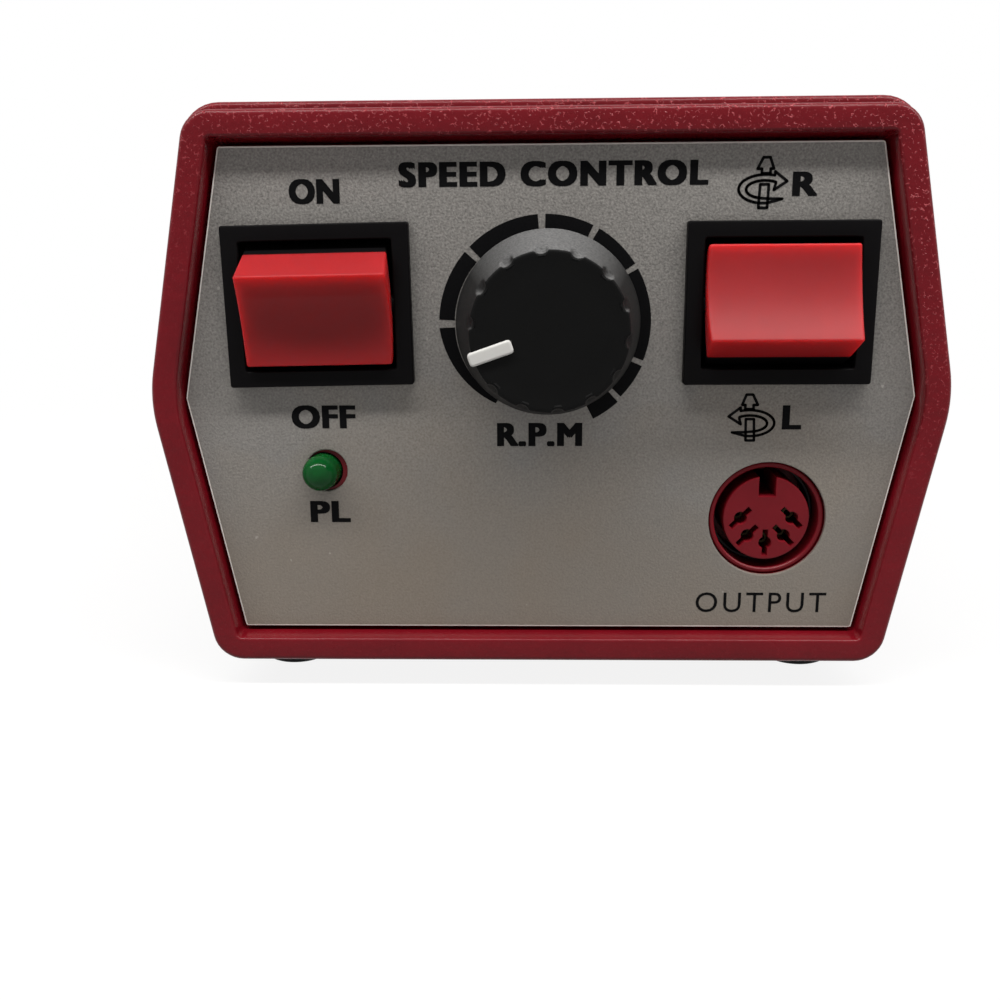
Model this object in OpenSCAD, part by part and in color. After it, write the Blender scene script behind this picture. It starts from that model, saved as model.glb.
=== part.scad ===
// Control box of a nail drill: a six-sided red case with two rocker switches, a speed knob,
// a pilot lamp and a round output socket on its front panel.
// Millimetres. X is to the right as seen from the front, Y runs to the back, Z is up.
// The origin is on the ground, under the middle of the part. Each piece is drawn about the
// middle of the panel's front face and then moved to its place by placed().

/* [Front panel] */
// Width of the panel sheet at its widest line
panel_mid_w = 97.6; // [94:0.1:110]
// Width of the panel sheet at its top and bottom edges
panel_end_w = 85; // [82:0.1:90]
// Height of the panel sheet
panel_h = 65; // [63:0.1:75]
// Thickness of the panel sheet
overlay_t = 0.5; // [0.3:0.1:0.8]

/* [Front frame] */
// Reach of the frame past the edge of the panel
rim_reach = 4.4; // [4:0.1:6]
// Depth of the panel below the front face of the rim
recess_d = 2.2; // [1:0.1:4]
// Gap between the edge of the panel and the recess wall
recess_gap = 0.6; // [0.2:0.1:1]
// Thickness of the wall behind the panel
frame_floor_t = 2.5; // [2:0.1:3.5]
// Radius of the two upper corners
corner_top_r = 4; // [2.6:0.1:6]
// Radius of the two lower corners
corner_bottom_r = 4.2; // [2.6:0.1:6]
// Radius at the widest line of the sides
side_r = 20; // [8:1:40]
// Length of the skirt that enters the shells
skirt_len = 5.5; // [4:0.1:7]
// Thickness of the skirt
skirt_t = 2.2; // [1.8:0.1:2.6]

/* [Case] */
// Depth of the case from the front of the rim to the back edge of the shells
case_depth = 140; // [134:1:170]
// Wall thickness of the shells
wall = 2.5; // [2:0.1:3]
// How far the upper cover stands proud of the frame
cover_proud = 1.3; // [0.5:0.1:1.8]
// Height of the split between the shells above the widest line
split_up = 3; // [1:0.5:6]
// Width of the catch rib that holds the skirt
catch_w = 1.2; // [0.8:0.1:1.6]
// Height of the catch rib
catch_h = 1; // [0.6:0.1:1.2]
// Gap between pieces that slot together
fit_gap = 0.2; // [0.1:0.05:0.3]

/* [Feet] */
// Diameter of a rubber foot
foot_d = 10; // [8:0.5:12]
// Height of a rubber foot
foot_h = 4.2; // [3.5:0.1:6]
// Rounding of the lower edge of a foot
foot_round = 1; // [0.4:0.1:1.2]
// Distance of a foot from the middle of the case
foot_x = 37.6; // [34:0.1:38]
// Distance of the front feet behind the panel
foot_front_y = 12; // [11.5:0.5:16]
// Distance of the rear feet from the back edge of the shells
foot_rear_inset = 12; // [10:0.5:20]
// Radius of a foot screw
foot_screw_r = 1.4; // [1.2:0.05:1.6]
// Length of a foot screw under its head
foot_screw_len = 10; // [8:0.5:12]

/* [Closing screws] */
// Distance of the screw posts from the middle of the case
post_x = 38; // [37.5:0.1:39]
// Radius of a screw post
post_r = 4; // [3.8:0.1:4.2]
// Distance of the front posts behind the panel
post_front_y = 38; // [36:1:42]
// Distance of the rear posts from the back edge of the shells
post_rear_inset = 34; // [30:1:38]
// Radius of a closing screw
closing_r = 1.25; // [1.1:0.05:1.5]
// Length of a closing screw under its head
closing_len = 18; // [12:1:24]
// Thickness of the seat under its head
closing_seat = 3; // [2:0.5:5]

/* [Rocker switches] */
// Gap between a bezel's outer upper corner and the sloping edge of the panel
switch_inset = 2.03; // [1.6:0.01:2.4]
// Height of the switches above the middle of the panel
switch_z = 12.3; // [10:0.1:14]
// Width of the rocker bezel
bezel_w = 24.5; // [24:0.1:26]
// Height of the rocker bezel
bezel_h = 21; // [20.5:0.1:23]
// Thickness of the rocker bezel
bezel_t = 1.8; // [1.6:0.1:2.4]
// Width of the rocker
rocker_w = 19.25; // [18:0.05:19.5]
// Half of the rocker's length at its two ridges
rocker_reach = 6.35; // [6:0.05:6.6]
// Height of the ridges over the pivot
rocker_rise = 5.1; // [4.6:0.1:5.6]
// Depth of the rocker's skirt behind the pivot
rocker_skirt = 3.2; // [2.6:0.1:3.6]
// Lean of the rocker's end walls in degrees
rocker_draft = 7; // [4:0.5:9]
// Depth of the hollow in the rocker's face
rocker_dish = 1.1; // [0.3:0.1:1.5]
// Tilt of the rocker to each side in degrees
rocker_tilt = 20; // [14:1:20]
// Height of the pivot in front of the panel
pivot_out = 0.3; // [0.2:0.1:0.4]
// Radius of the pivot pins
pivot_r = 1.2; // [1:0.05:1.3]
// Gap between the rocker and the sides of its opening
rocker_gap = 0.37; // [0.35:0.01:0.5]
// Wall of the switch body
switch_wall = 1; // [0.8:0.1:1.1]
// Depth of the switch body behind the panel
switch_depth = 23; // [21:0.5:26]
// Gap that turning pins and shafts run in
run_gap = 0.05; // [0.02:0.01:0.08]
// Gap that other moving pieces keep
move_gap = 0.35; // [0.3:0.05:0.4]

/* [Switch contacts] */
// Distance of the two poles from the middle of a switch
pole_x = 4.8; // [4.4:0.1:5.4]
// Radius of a toggle plunger
plunger_r = 1.25; // [1:0.05:1.4]
// Distance of the plunger's tip from the rocker's pivot
plunger_len = 8; // [7.6:0.1:8.6]
// Tilt of a contact arm to each side in degrees
arm_tilt = 8; // [6:0.5:9]
// Length of a contact arm
arm_len = 11; // [10:0.5:12]
// Width of a contact arm
arm_w = 5; // [4.6:0.1:5.4]
// Thickness of a contact arm
arm_t = 0.6; // [0.4:0.1:0.8]
// Radius of the contact arm's pivot pin
arm_pin_r = 0.5; // [0.4:0.05:0.55]
// Width of a blade terminal
blade_w = 4; // [3:0.1:4.6]
// Thickness of a blade terminal
blade_t = 0.8; // [0.5:0.1:1]
// Length of a blade terminal behind the switch
blade_len = 8; // [6:0.5:10]

/* [Speed control] */
// Height of the knob above the middle of the panel
knob_z = 10; // [8:0.1:12]
// Radius of the knob at its skirt
knob_r = 12; // [11.5:0.1:13]
// Radius of the knob at its top
knob_top_r = 9.8; // [9.2:0.1:10.4]
// Height of the knob's top over the panel
knob_top = 14.5; // [13:0.1:17]
// Gap between the knob and the panel
knob_gap = 0.7; // [0.4:0.1:1]
// Number of flutes round the knob
flute_count = 14; // [10:1:18]
// Depth of a flute
flute_d = 0.55; // [0.2:0.05:0.8]
// Length of the pointer bar
pointer_len = 5.6; // [4:0.1:6]
// Width of the pointer bar
pointer_w = 1.7; // [1.2:0.1:2.4]
// Height of the pointer bar over the knob's top
pointer_up = 0.5; // [0.3:0.1:0.8]
// Angle of the pointer at rest, clockwise from the top
pointer_rest = -109; // [-150:1:150]
// Radius of the control's shaft
shaft_r = 3; // [2.5:0.1:3.2]
// Radius of the threaded bush
bush_r = 4; // [3.6:0.1:4.5]
// Radius of the potentiometer housing
pot_r = 12; // [11:0.1:12.6]
// Depth of the potentiometer housing
pot_d = 9; // [8:0.5:12]
// Width of the bush's nut across its flats
bush_nut_w = 11; // [10.5:0.1:12]

/* [Pilot lamp] */
// Height of the lamp below the middle of the panel
led_down = 10; // [8:0.1:12]
// Radius of the lamp
led_r = 2.5; // [1.5:0.1:2.7]
// How far the lamp stands out of the panel
led_out = 3.5; // [3:0.1:4.5]
// Gap round the lamp in the panel sheet
led_gap = 0.35; // [0.1:0.05:0.6]

/* [Output socket] */
// Height of the socket above the lower edge of the panel
output_up = 15.6; // [15.2:0.1:17]
// Radius of the socket's face
output_r = 7.85; // [7.5:0.05:8.2]
// Outer radius of the round slot
slot_r = 7.05; // [6.8:0.05:7.2]
// Radius of the core inside the slot
core_r = 5.75; // [5.5:0.05:5.85]
// Depth of the slot
slot_d = 9; // [7:0.5:10]
// Thickness of the metal sleeve in the slot
shield_t = 0.3; // [0.2:0.05:0.4]
// Diameter of the circle that the contacts stand on
contact_pcd = 7; // [6.8:0.1:7.2]
// Radius of a contact hole
contact_r = 0.8; // [0.7:0.05:0.9]
// Width of the key slot
key_w = 2.3; // [1.8:0.1:2.6]
// Depth of the socket's body behind the panel
output_depth = 17; // [14:0.5:20]
// Distance between the two flange screws
output_pitch = 22.2; // [22:0.1:22.6]

/* [Rear panel] */
// Thickness of the rear panel
rear_t = 3; // [2.5:0.1:3.5]
// Distance of the rear panel from the back edge of the shells
rear_inset = 2; // [1.5:0.1:3]
// Height of the ribs that hold the rear panel
rear_rib = 1.5; // [1:0.1:2]
// Number of vent slots
vent_count = 8; // [4:1:9]
// Width of a vent slot
vent_w = 2; // [1.5:0.1:2.5]
// Height of a vent slot
vent_h = 15; // [10:0.5:16]
// Distance from one vent slot to the next
vent_pitch = 4.6; // [4:0.1:5]

/* [Mains inlet] */
// Distance of the inlet and the vents from the middle of the case
inlet_x = 17; // [15:0.5:19]
// Height of the inlet below the middle of the panel
inlet_down = 9; // [7:0.5:12]
// Width of the inlet's body
inlet_w = 27.6; // [27:0.1:28.4]
// Height of the inlet's body
inlet_h = 20; // [19:0.1:20.6]
// Depth of the inlet's body behind the rear panel
inlet_depth = 16; // [15:0.5:18]
// Width of the inlet's flange
inlet_flange_w = 50; // [48:0.5:52]
// Height of the inlet's flange
inlet_flange_h = 24; // [22:0.5:26]
// Thickness of the inlet's flange
inlet_flange_t = 2.2; // [1.6:0.1:3]
// Distance between the inlet's screws
inlet_pitch = 40; // [39:0.1:41]
// Width of the hollow that the plug enters
inlet_mouth_w = 24.4; // [24:0.1:25]
// Height of the hollow that the plug enters
inlet_mouth_h = 16.8; // [16:0.1:17]

/* [Pedal jack and mode switch] */
// Distance of both from the widest line of the panel
fitting_inset = 21.8; // [20.8:0.1:23.8]
// Height of the jack below the middle of the panel
jack_down = 14; // [10:0.5:16]
// Radius of the jack's bore
jack_bore_r = 3.2; // [3.1:0.05:3.3]
// Radius of the jack's barrel
jack_barrel_r = 4.7; // [4.4:0.1:5]
// How far the barrel stands out of the rear panel
jack_out = 4.5; // [3:0.1:6]
// Depth of the jack's bore
jack_depth = 22; // [18:0.5:24]
// Height of the mode switch above the middle of the panel
mode_up = 12; // [8:0.5:14]
// Travel of the mode slider
mode_travel = 4; // [3:0.5:5]
// Width of the slider's tip
slider_w = 5.5; // [4:0.1:6]
// Height of the slider's tip
slider_h = 3.8; // [3:0.1:4.4]
// How far the slider stands out of the rear panel
slider_out = 3.5; // [2.5:0.1:5]
// Distance between the mode switch's screws
mode_pitch = 22; // [21.5:0.1:23]

/* [Transformer] */
// Width of the iron core
core_w = 48; // [46:0.5:50]
// Height of the iron core
core_h = 40; // [36:0.5:44]
// Stack of the iron core
core_stack = 20; // [16:0.5:24]
// Distance of the core's middle in front of the rear panel's outer face
core_back = 46; // [45:0.5:47]
// Thickness of the bracket's strip
bracket_t = 1.2; // [1:0.1:1.6]
// Length of each foot of the bracket
bracket_foot = 8; // [7.5:0.1:8.2]
// Height of the bosses under the bracket
bracket_boss_h = 4; // [3:0.5:6]

/* [Control board] */
// Width of the board
board_w = 62; // [60:0.5:64]
// Thickness of the board
board_t = 1.6; // [1:0.1:2]
// Distance of the board's front edge behind the panel
board_front = 24; // [23.5:0.1:24.5]
// Gap between the board and the transformer
board_gap = 2; // [1:0.1:3]
// Height of the board over the floor of the case
board_up = 6; // [4:0.5:8]
// Distance of the board screws from the board's edges
board_edge = 4; // [3.5:0.1:5]
// Radius of the main capacitor
capacitor_r = 8; // [6:0.5:9]
// Height of the main capacitor
capacitor_h = 26; // [20:1:28]
// Width of the heat sink
sink_w = 24; // [18:1:24]
// Height of the heat sink
sink_h = 26; // [20:1:28]
// Number of fins on the heat sink
fin_count = 6; // [4:1:8]

/* [Hidden] */
$fn = 48;

// Colours
case_red = "#8f1f2c";
panel_silver = "#a9a69e";
black_plastic = "#1b1b1b";
rocker_red = "#c4303a";
bright_steel = "#b9bcc0";
brass = "#b8924a";
tin = "#c9cbcd";

// Working allowances: extra length of a through cut, the bite of a joined feature, the play of a hole
// round a piece that sits in it, and the least radius of a rounded corner
cut = 1;
bite = 0.4;
hole_play = 0.1;
least_corner = 0.5;
arc_steps = 8;

// Planes of the case, as distances behind the panel's front face
frame_back = overlay_t + frame_floor_t;
case_end = case_depth - recess_d;
rear_out = case_end - rear_inset;
rear_in = rear_out - rear_t;
inner_reach = rim_reach - wall;
cover_reach = rim_reach + cover_proud;
cover_inner = cover_reach - wall;
floor_z = -(panel_h / 2 + inner_reach);
base_z = -(panel_h / 2 + rim_reach);
roof_z = panel_h / 2 + cover_inner;
catch_y = frame_back + skirt_len / 2;

// Feet and screws
foot_seat = 2;
foot_places = [for (x = [-foot_x, foot_x], y = [foot_front_y, case_end - foot_rear_inset]) [x, y]];
post_places = [for (x = [-post_x, post_x], y = [post_front_y, case_end - post_rear_inset]) [x, y]];
boss_wall = 1.6;
foot_boss_r = foot_screw_r + boss_wall;
foot_boss_h = 6;
head_ratio = 2;
head_h = 1.6;
recess_w = 0.8;
recess_ratio = 1.2;
screw_past = 1;
closing_head_h = 2;
closing_head_ratio = 2.1;
closing_head_r = closing_r * closing_head_ratio;
seat_z = split_up - closing_seat;

// The two columns of the panel: a bezel's upper corner keeps its gap to the sloping edge, and the lamp
// and the socket stand under the switches
bezel_top = switch_z + bezel_h / 2;
edge_slope = (panel_mid_w - panel_end_w) / panel_h;
column_x = panel_mid_w / 2 - edge_slope * bezel_top - switch_inset - bezel_w / 2;
output_down = panel_h / 2 - output_up;
fitting_x = panel_mid_w / 2 - fitting_inset;

// Switches
opening_w = rocker_w + 2 * rocker_gap;
skirt_half = rocker_reach + (rocker_rise + rocker_skirt) * tan(rocker_draft);
opening_h = 2 * (norm([skirt_half, rocker_skirt]) + rocker_gap);
body_w = opening_w + 2 * switch_wall;
body_h = opening_h + 2 * switch_wall;
switch_back_t = 2;
pin_short = 0.1;
pin_end = opening_w / 2 + switch_wall - pin_short;
rocker_wall = 1.6;
sleeve_wall = 0.8;
sleeve_r = plunger_r + run_gap + sleeve_wall;
sleeve_end = 4.2;
plunger_start = 0.6;
bore_cap = 1.2;
bore_top = rocker_rise - rocker_dish - bore_cap;
spring_wire = 0.4;
lug_len = 4.5;
lug_out = 1;
// The arm's front face clears the plunger's tip at mid travel
arm_front = plunger_len - pivot_out + move_gap;
arm_lift = 1.5;
arm_axis_y = arm_front + arm_t + arm_lift;
ear_t = 0.7;
ear_in = arm_w / 2 - ear_t;
knuckle_w = 2 * (ear_in - move_gap);
knuckle_wall = 0.45;
knuckle_half = arm_pin_r + knuckle_wall;
contact_inset = 1;
contact_z = arm_len / 2 - contact_inset;
contact_y = arm_axis_y - arm_lift * cos(arm_tilt) + contact_z * sin(arm_tilt) + move_gap;
blade_end = switch_depth + blade_len;

// Speed control
knob_skirt_h = 1.8;
knob_hollow_r = 8.2;
knob_hollow_top = 6.5;
hub_wall = 2;
hub_r = shaft_r + hub_wall;
hub_base = 4.6;
knob_cap = 2;
hub_end = knob_top - knob_cap;
bush_out = 3.8;
washer_t = 0.6;
washer_lip = 0.5;
bush_nut_t = 2.2;
pot_wall = 1.2;
wiper_t = 1.4;
wiper_gap = 1.2;
wiper_hole_r = 1.5;
wiper_y = frame_back + pot_d / 2;
flute_r = 1.1;
flute_side = atan((knob_r - knob_top_r) / (knob_top - knob_gap - knob_skirt_h));
flute_start = 1.2;
flute_from = knob_gap + knob_skirt_h + flute_start;
pointer_sink = 0.8;
pointer_in = knob_top_r + pointer_up - pointer_len;
lug_w = 2.2;
lug_t = 0.6;
lug_pitch = 5;
lug_reach = 5;
lug_hole_r = 0.5;
lug_hole_up = 1.4;
lug_block_h = 5.8;
lug_block_t = 3;
lug_block_sink = 1.4;
lug_bottom = lug_block_sink - pot_r - lug_block_h;

// Lamp
led_lip = 0.4;
led_flange_r = led_r + led_lip;
led_flange_t = 1;
led_ring_wall = 1.6;
led_ring_r = led_flange_r + led_ring_wall;
led_ring_step = 0.5;
led_ring_d = 4;
led_lead_r = 0.25;
led_lead_x = 1.27;
led_lead_end = 14;

// Output socket
output_sink = 0.6;
pad_t = 2;
output_flange_t = 2;
output_flange_ends = 5.4;
output_flange_h = output_pitch + output_flange_ends;
output_flange_sides = 2.4;
output_flange_w = 2 * output_r + output_flange_sides;
output_screw_r = 1.1;
output_screw_bite = 1.5;
output_screw_len = output_flange_t + pad_t + output_screw_bite;
blind_floor = 0.5;
contact_wall = 0.3;
contact_floor = 2;
contact_tail = 5;
contact_angles = [180, 225, 270, 315, 360];
slit_angles = [225, 225, 270, 315, 315];
slit_w = 0.55;
slit_len = 3.4;
slit_d = 3;
slot_floor = output_sink + slot_d;
stem_r = 5;
contact_sides = 16;
key_floor = 3.05;

// Rear fittings
vent_up = 16;
inlet_screw_r = 1.45;
inlet_nut_w = 5.5;
inlet_nut_t = 2.4;
inlet_floor = 2;
inlet_pin_w = 4;
inlet_pin_t = 2;
inlet_pin_len = 10;
inlet_tab_w = 6;
inlet_tab_len = 8;
inlet_pin_places = [[-7, -2], [0, 2], [7, -2]];
jack_nut_w = 12;
jack_nut_t = 2.2;
jack_body = 15;
jack_body_d = 18;
jack_floor = 1.5;
mode_plate_t = 1;
mode_plate_ends = 5;
mode_plate_h = 9;
mode_body_h = 9;
mode_body_d = 7;
mode_wall = 1;
mode_screw_r = 0.95;
slider_lip_h = 2.4;
slider_lip_w = 2;
slider_base_h = slider_h + slider_lip_h;
slider_base_t = 1.6;
slider_base_w = slider_w + slider_lip_w;
mode_hollow_w = slider_base_w + mode_travel + 2 * move_gap;
mode_hollow_h = slider_base_h + 2 * move_gap;
mode_body_w = mode_hollow_w + 2 * mode_wall;

// Transformer: leg and window sizes of the usual waste-free lamination
core_leg = core_w / 6;
core_y = rear_out - core_back;
core_z = floor_z + bracket_boss_h;
window_h = core_h - 2 * core_leg;
bobbin_gap = 0.2;
bobbin_t = 1;
coil_short = 0.4;
coil_reach = core_leg - 2 * bobbin_gap - coil_short;
core_front = core_y - core_stack / 2 - core_leg + bobbin_gap;
bracket_screw_x = core_w / 2 + bracket_t + bracket_foot / 2;
bracket_screw_r = 1.4;

// Board: it takes the depth that the transformer leaves
board_back = core_front - board_gap;
board_d = board_back - board_front;
board_y = (board_front + board_back) / 2;
board_z = floor_z + board_up;
board_top = board_z + board_t;
board_screw_r = 1.1;
board_boss_r = 3;
board_screw_places = [for (x = [-1, 1], y = [-1, 1])
    [x * (board_w / 2 - board_edge), board_y + y * (board_d / 2 - board_edge)]];
capacitor_inset = 1;
capacitor_at = [capacitor_inset + capacitor_r - board_w / 2, board_y];
crimp_up = 2;
crimp_out = 0.4;
crimp_r = 1;
sink_inset = [7, 11];
sink_at = [(board_w - sink_w) / 2 - sink_inset[0], board_back - sink_inset[1]];
sink_base_t = 3;
fin_t = 1.2;
fin_len = 7;
transistor_w = 10;
transistor_t = 4.4;
transistor_h = 9;
tab_t = 1.3;
tab_h = 16;
tab_hole_z = 12.5;
tab_hole_r = 1.8;
lead_h = 3;
lead_w = 0.8;
lead_t = 0.6;
lead_pitch = 2.54;
tab_screw_r = 1.4;
rectifier_size = [15, 4, 11];
rectifier_x = 14;
rectifier_inset = 11;
rectifier_at = [rectifier_x, board_front + rectifier_inset];
fuse_r = 2.5;
fuse_len = 20;
fuse_cap_len = 5;
fuse_cap_t = 0.2;
fuse_x = -7;
fuse_inset = 2;
fuse_at = [fuse_x, board_back - fuse_inset - fuse_len / 2];
fuse_up = 4.2;
clip_t = 0.5;
clip_w = 4;
clip_mouth = 30;
connector_size = [8, 6, 7];
connector_wall = 1;
connector_floor = 1.5;
connector_inset = [22, 5];
connector_pitch = 10;
connector_count = 3;

// The part's own box decides where the panel stands, so that the origin is under its middle
front_reach = knob_top + pointer_up;
back_reach = max(case_end, rear_out + max(jack_out, slider_out, inlet_flange_t + head_h));
panel_y = (front_reach - back_reach) / 2;
panel_z = foot_h - base_z;

// Corners of the panel's six-sided outline, grown outwards by reach
function hexagon(reach) =
    let (
        lean = atan((panel_mid_w - panel_end_w) / panel_h),
        half_h = panel_h / 2 + reach,
        half_mid = panel_mid_w / 2 + reach / cos(lean),
        half_end = half_mid - half_h * tan(lean)
    )
    [[half_end, half_h], [half_mid, 0], [half_end, -half_h],
     [-half_end, -half_h], [-half_mid, 0], [-half_end, half_h]];

function unit(v) = v / norm(v);

// Points of the arc of radius r that rounds the corner b between a and c
function corner_arc(a, b, c, r) =
    let (
        to_a = unit(a - b),
        to_c = unit(c - b),
        half = acos(to_a * to_c) / 2,
        centre = b + unit(to_a + to_c) * r / sin(half),
        from = b + to_a * r / tan(half) - centre,
        till = b + to_c * r / tan(half) - centre,
        start = atan2(from[1], from[0]),
        turn = atan2(till[1], till[0]) - start,
        sweep = turn > 180 ? turn - 360 : turn < -180 ? turn + 360 : turn
    )
    [for (i = [0 : arc_steps]) let (at = start + sweep * i / arc_steps) centre + r * [cos(at), sin(at)]];

// Outline p with corner i rounded by radius r[i]
function rounded(p, r) =
    let (n = len(p))
    [for (i = [0 : n - 1]) each corner_arc(p[(i + n - 1) % n], p[i], p[(i + 1) % n], r[i])];

// Outline of the case, grown from the panel's edge by reach
function case_points(reach) =
    let (
        top = max(least_corner, corner_top_r + reach - rim_reach),
        bottom = max(least_corner, corner_bottom_r + reach - rim_reach)
    )
    rounded(hexagon(reach), [top, side_r, bottom, bottom, side_r, top]);

// Moves a piece from the panel's own frame to its place in the part
module placed() {
    translate([0, panel_y, panel_z]) children();
}

// Cylinder along Y from y0 to y1
module rod(r, y0, y1) {
    translate([0, y1, 0]) rotate([90, 0, 0]) cylinder(r = r, h = y1 - y0);
}

// Flat outline in X and Z, drawn out along Y from y0 to y1
module prism(y0, y1) {
    translate([0, y1, 0]) rotate([90, 0, 0]) linear_extrude(height = y1 - y0) children();
}

// Block centred in X and Z, from y0 to y1
module bar(w, h, y0, y1) {
    translate([-w / 2, y0, -h / 2]) cube([w, y1 - y0, h]);
}

// Block centred in X and Y that stands on its own base
module block(w, d, h) {
    translate([-w / 2, -d / 2, 0]) cube([w, d, h]);
}

// Outline in Y and Z, drawn out along X and centred
module across(w) {
    rotate([90, 0, 90]) linear_extrude(height = w, center = true) children();
}

// Solid of revolution about Y: points are [radius, height in front of the panel]
module turned() {
    rotate([90, 0, 0]) rotate_extrude() children();
}

module case_outline(reach) {
    polygon(case_points(reach));
}

// Ring of the case's outline between two reaches
module case_ring(outer, inner, y0, y1) {
    difference() {
        prism(y0, y1) case_outline(outer);
        prism(y0 - cut, y1 + cut) case_outline(inner);
    }
}

module above_split() {
    translate([-panel_mid_w, -case_depth, split_up]) cube([2 * panel_mid_w, 3 * case_depth, panel_h]);
}

module below_split() {
    translate([-panel_mid_w, -case_depth, split_up - 2 * panel_h])
        cube([2 * panel_mid_w, 3 * case_depth, 2 * panel_h]);
}

// Pan-head screw that points up, its head under z = 0
module screw_up(r, length, head_r, height) {
    difference() {
        union() {
            translate([0, 0, -bite]) cylinder(r = r, h = length + bite);
            translate([0, 0, -height]) cylinder(r = head_r, h = height);
        }
        for (turn = [0, 90])
            rotate([0, 0, turn]) translate([0, 0, -height - cut])
                block(head_r * recess_ratio, recess_w, cut + height / 2);
    }
}

// The same screw pointing down, its head on z = 0
module screw_down(r, length, head_r, height) {
    rotate([180, 0, 0]) screw_up(r, length, head_r, height);
}

// Screw along Y that points to the front, its head behind y = 0
module screw_front(r, length, head_r, height) {
    rotate([90, 0, 0]) screw_up(r, length, head_r, height);
}

// Hexagonal nut about Z that stands on z = 0
module nut(across_flats, bore, height) {
    difference() {
        cylinder(r = across_flats / 2 / cos(30), h = height, $fn = 6);
        translate([0, 0, -cut]) cylinder(r = bore, h = height + 2 * cut);
    }
}

// Case

module front_frame() {
    color(case_red) placed() difference() {
        union() {
            prism(-recess_d, frame_back) case_outline(rim_reach);
            case_ring(inner_reach - fit_gap, inner_reach - fit_gap - skirt_t, frame_back - bite,
                frame_back + skirt_len);
            translate([column_x, 0, -output_down])
                bar(output_flange_w, output_flange_h, frame_back - bite, frame_back + pad_t);
        }
        prism(-recess_d - cut, overlay_t) polygon(hexagon(recess_gap));
        case_ring(inner_reach + cut, inner_reach - 2 * fit_gap - catch_h, catch_y - catch_w / 2 - fit_gap,
            catch_y + catch_w / 2 + fit_gap);
        front_openings(hole_play);
        for (side = [-1, 1])
            translate([column_x, 0, side * output_pitch / 2 - output_down])
                rod(output_screw_r + run_gap, overlay_t + blind_floor, frame_back + pad_t + cut);
    }
}

// Cut-outs that the panel sheet and the wall behind it share
module front_openings(lamp_gap) {
    for (side = [-1, 1])
        translate([side * column_x, 0, switch_z])
            bar(body_w + 2 * fit_gap, body_h + 2 * fit_gap, -cut, frame_back + cut);
    translate([0, 0, knob_z]) rod(bush_r + fit_gap, -cut, frame_back + cut);
    translate([-column_x, 0, -led_down]) rod(led_r + lamp_gap, -cut, frame_back + cut);
    translate([column_x, 0, -output_down]) rod(output_r + hole_play, -cut, frame_back + pad_t + cut);
}

module panel_overlay() {
    color(panel_silver) placed() difference() {
        prism(0, overlay_t) polygon(hexagon(0));
        front_openings(led_gap);
    }
}

// Inner collar with the rear panel's slot, from the shell's wall inwards
module rear_collar(outer) {
    difference() {
        case_ring(outer + bite, inner_reach - rear_rib, rear_in - 2 * rear_rib, case_end);
        prism(rear_in - fit_gap / 2, rear_out + fit_gap / 2) case_outline(inner_reach);
    }
}

// Rib that drops into the groove of the frame's skirt
module catch_rib(outer) {
    case_ring(outer + bite, inner_reach - catch_h, catch_y - catch_w / 2, catch_y + catch_w / 2);
}

module upper_cover() {
    color(case_red) placed() difference() {
        union() {
            intersection() {
                union() {
                    case_ring(cover_reach, cover_inner, frame_back, case_end);
                    rear_collar(cover_inner);
                    catch_rib(cover_inner);
                }
                above_split();
            }
            for (p = post_places)
                translate([p[0], p[1], split_up]) cylinder(r = post_r, h = roof_z - split_up + bite);
        }
        for (p = post_places)
            translate([p[0], p[1], split_up - cut])
                cylinder(r = closing_r + run_gap, h = closing_len - closing_seat + 2 * cut);
    }
}

module lower_case() {
    color(case_red) placed() difference() {
        union() {
            intersection() {
                union() {
                    case_ring(rim_reach, inner_reach, frame_back, case_end);
                    rear_collar(inner_reach);
                    catch_rib(inner_reach);
                }
                below_split();
            }
            for (p = post_places)
                translate([p[0], p[1], floor_z - bite]) cylinder(r = post_r, h = split_up - floor_z + bite);
            for (p = foot_places)
                translate([p[0], p[1], floor_z - bite]) cylinder(r = foot_boss_r, h = foot_boss_h + bite);
            for (p = board_screw_places)
                translate([p[0], p[1], floor_z - bite]) cylinder(r = board_boss_r, h = board_up + bite);
            for (side = [-1, 1])
                translate([side * bracket_screw_x, core_y, floor_z - bite])
                    block(bracket_foot, core_stack, bracket_boss_h + bite);
        }
        for (p = post_places)
            translate([p[0], p[1], base_z - cut]) {
                cylinder(r = closing_head_r + fit_gap, h = seat_z - base_z + cut);
                cylinder(r = closing_r + fit_gap, h = split_up - base_z + 2 * cut);
            }
        for (p = foot_places)
            translate([p[0], p[1], base_z - cut])
                cylinder(r = foot_screw_r + run_gap, h = wall + foot_boss_h + 2 * cut);
        for (p = board_screw_places)
            translate([p[0], p[1], floor_z]) cylinder(r = board_screw_r + run_gap, h = board_up + cut);
        for (side = [-1, 1])
            translate([side * bracket_screw_x, core_y, floor_z - cut])
                cylinder(r = bracket_screw_r + run_gap, h = bracket_boss_h + 2 * cut);
    }
}

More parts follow.
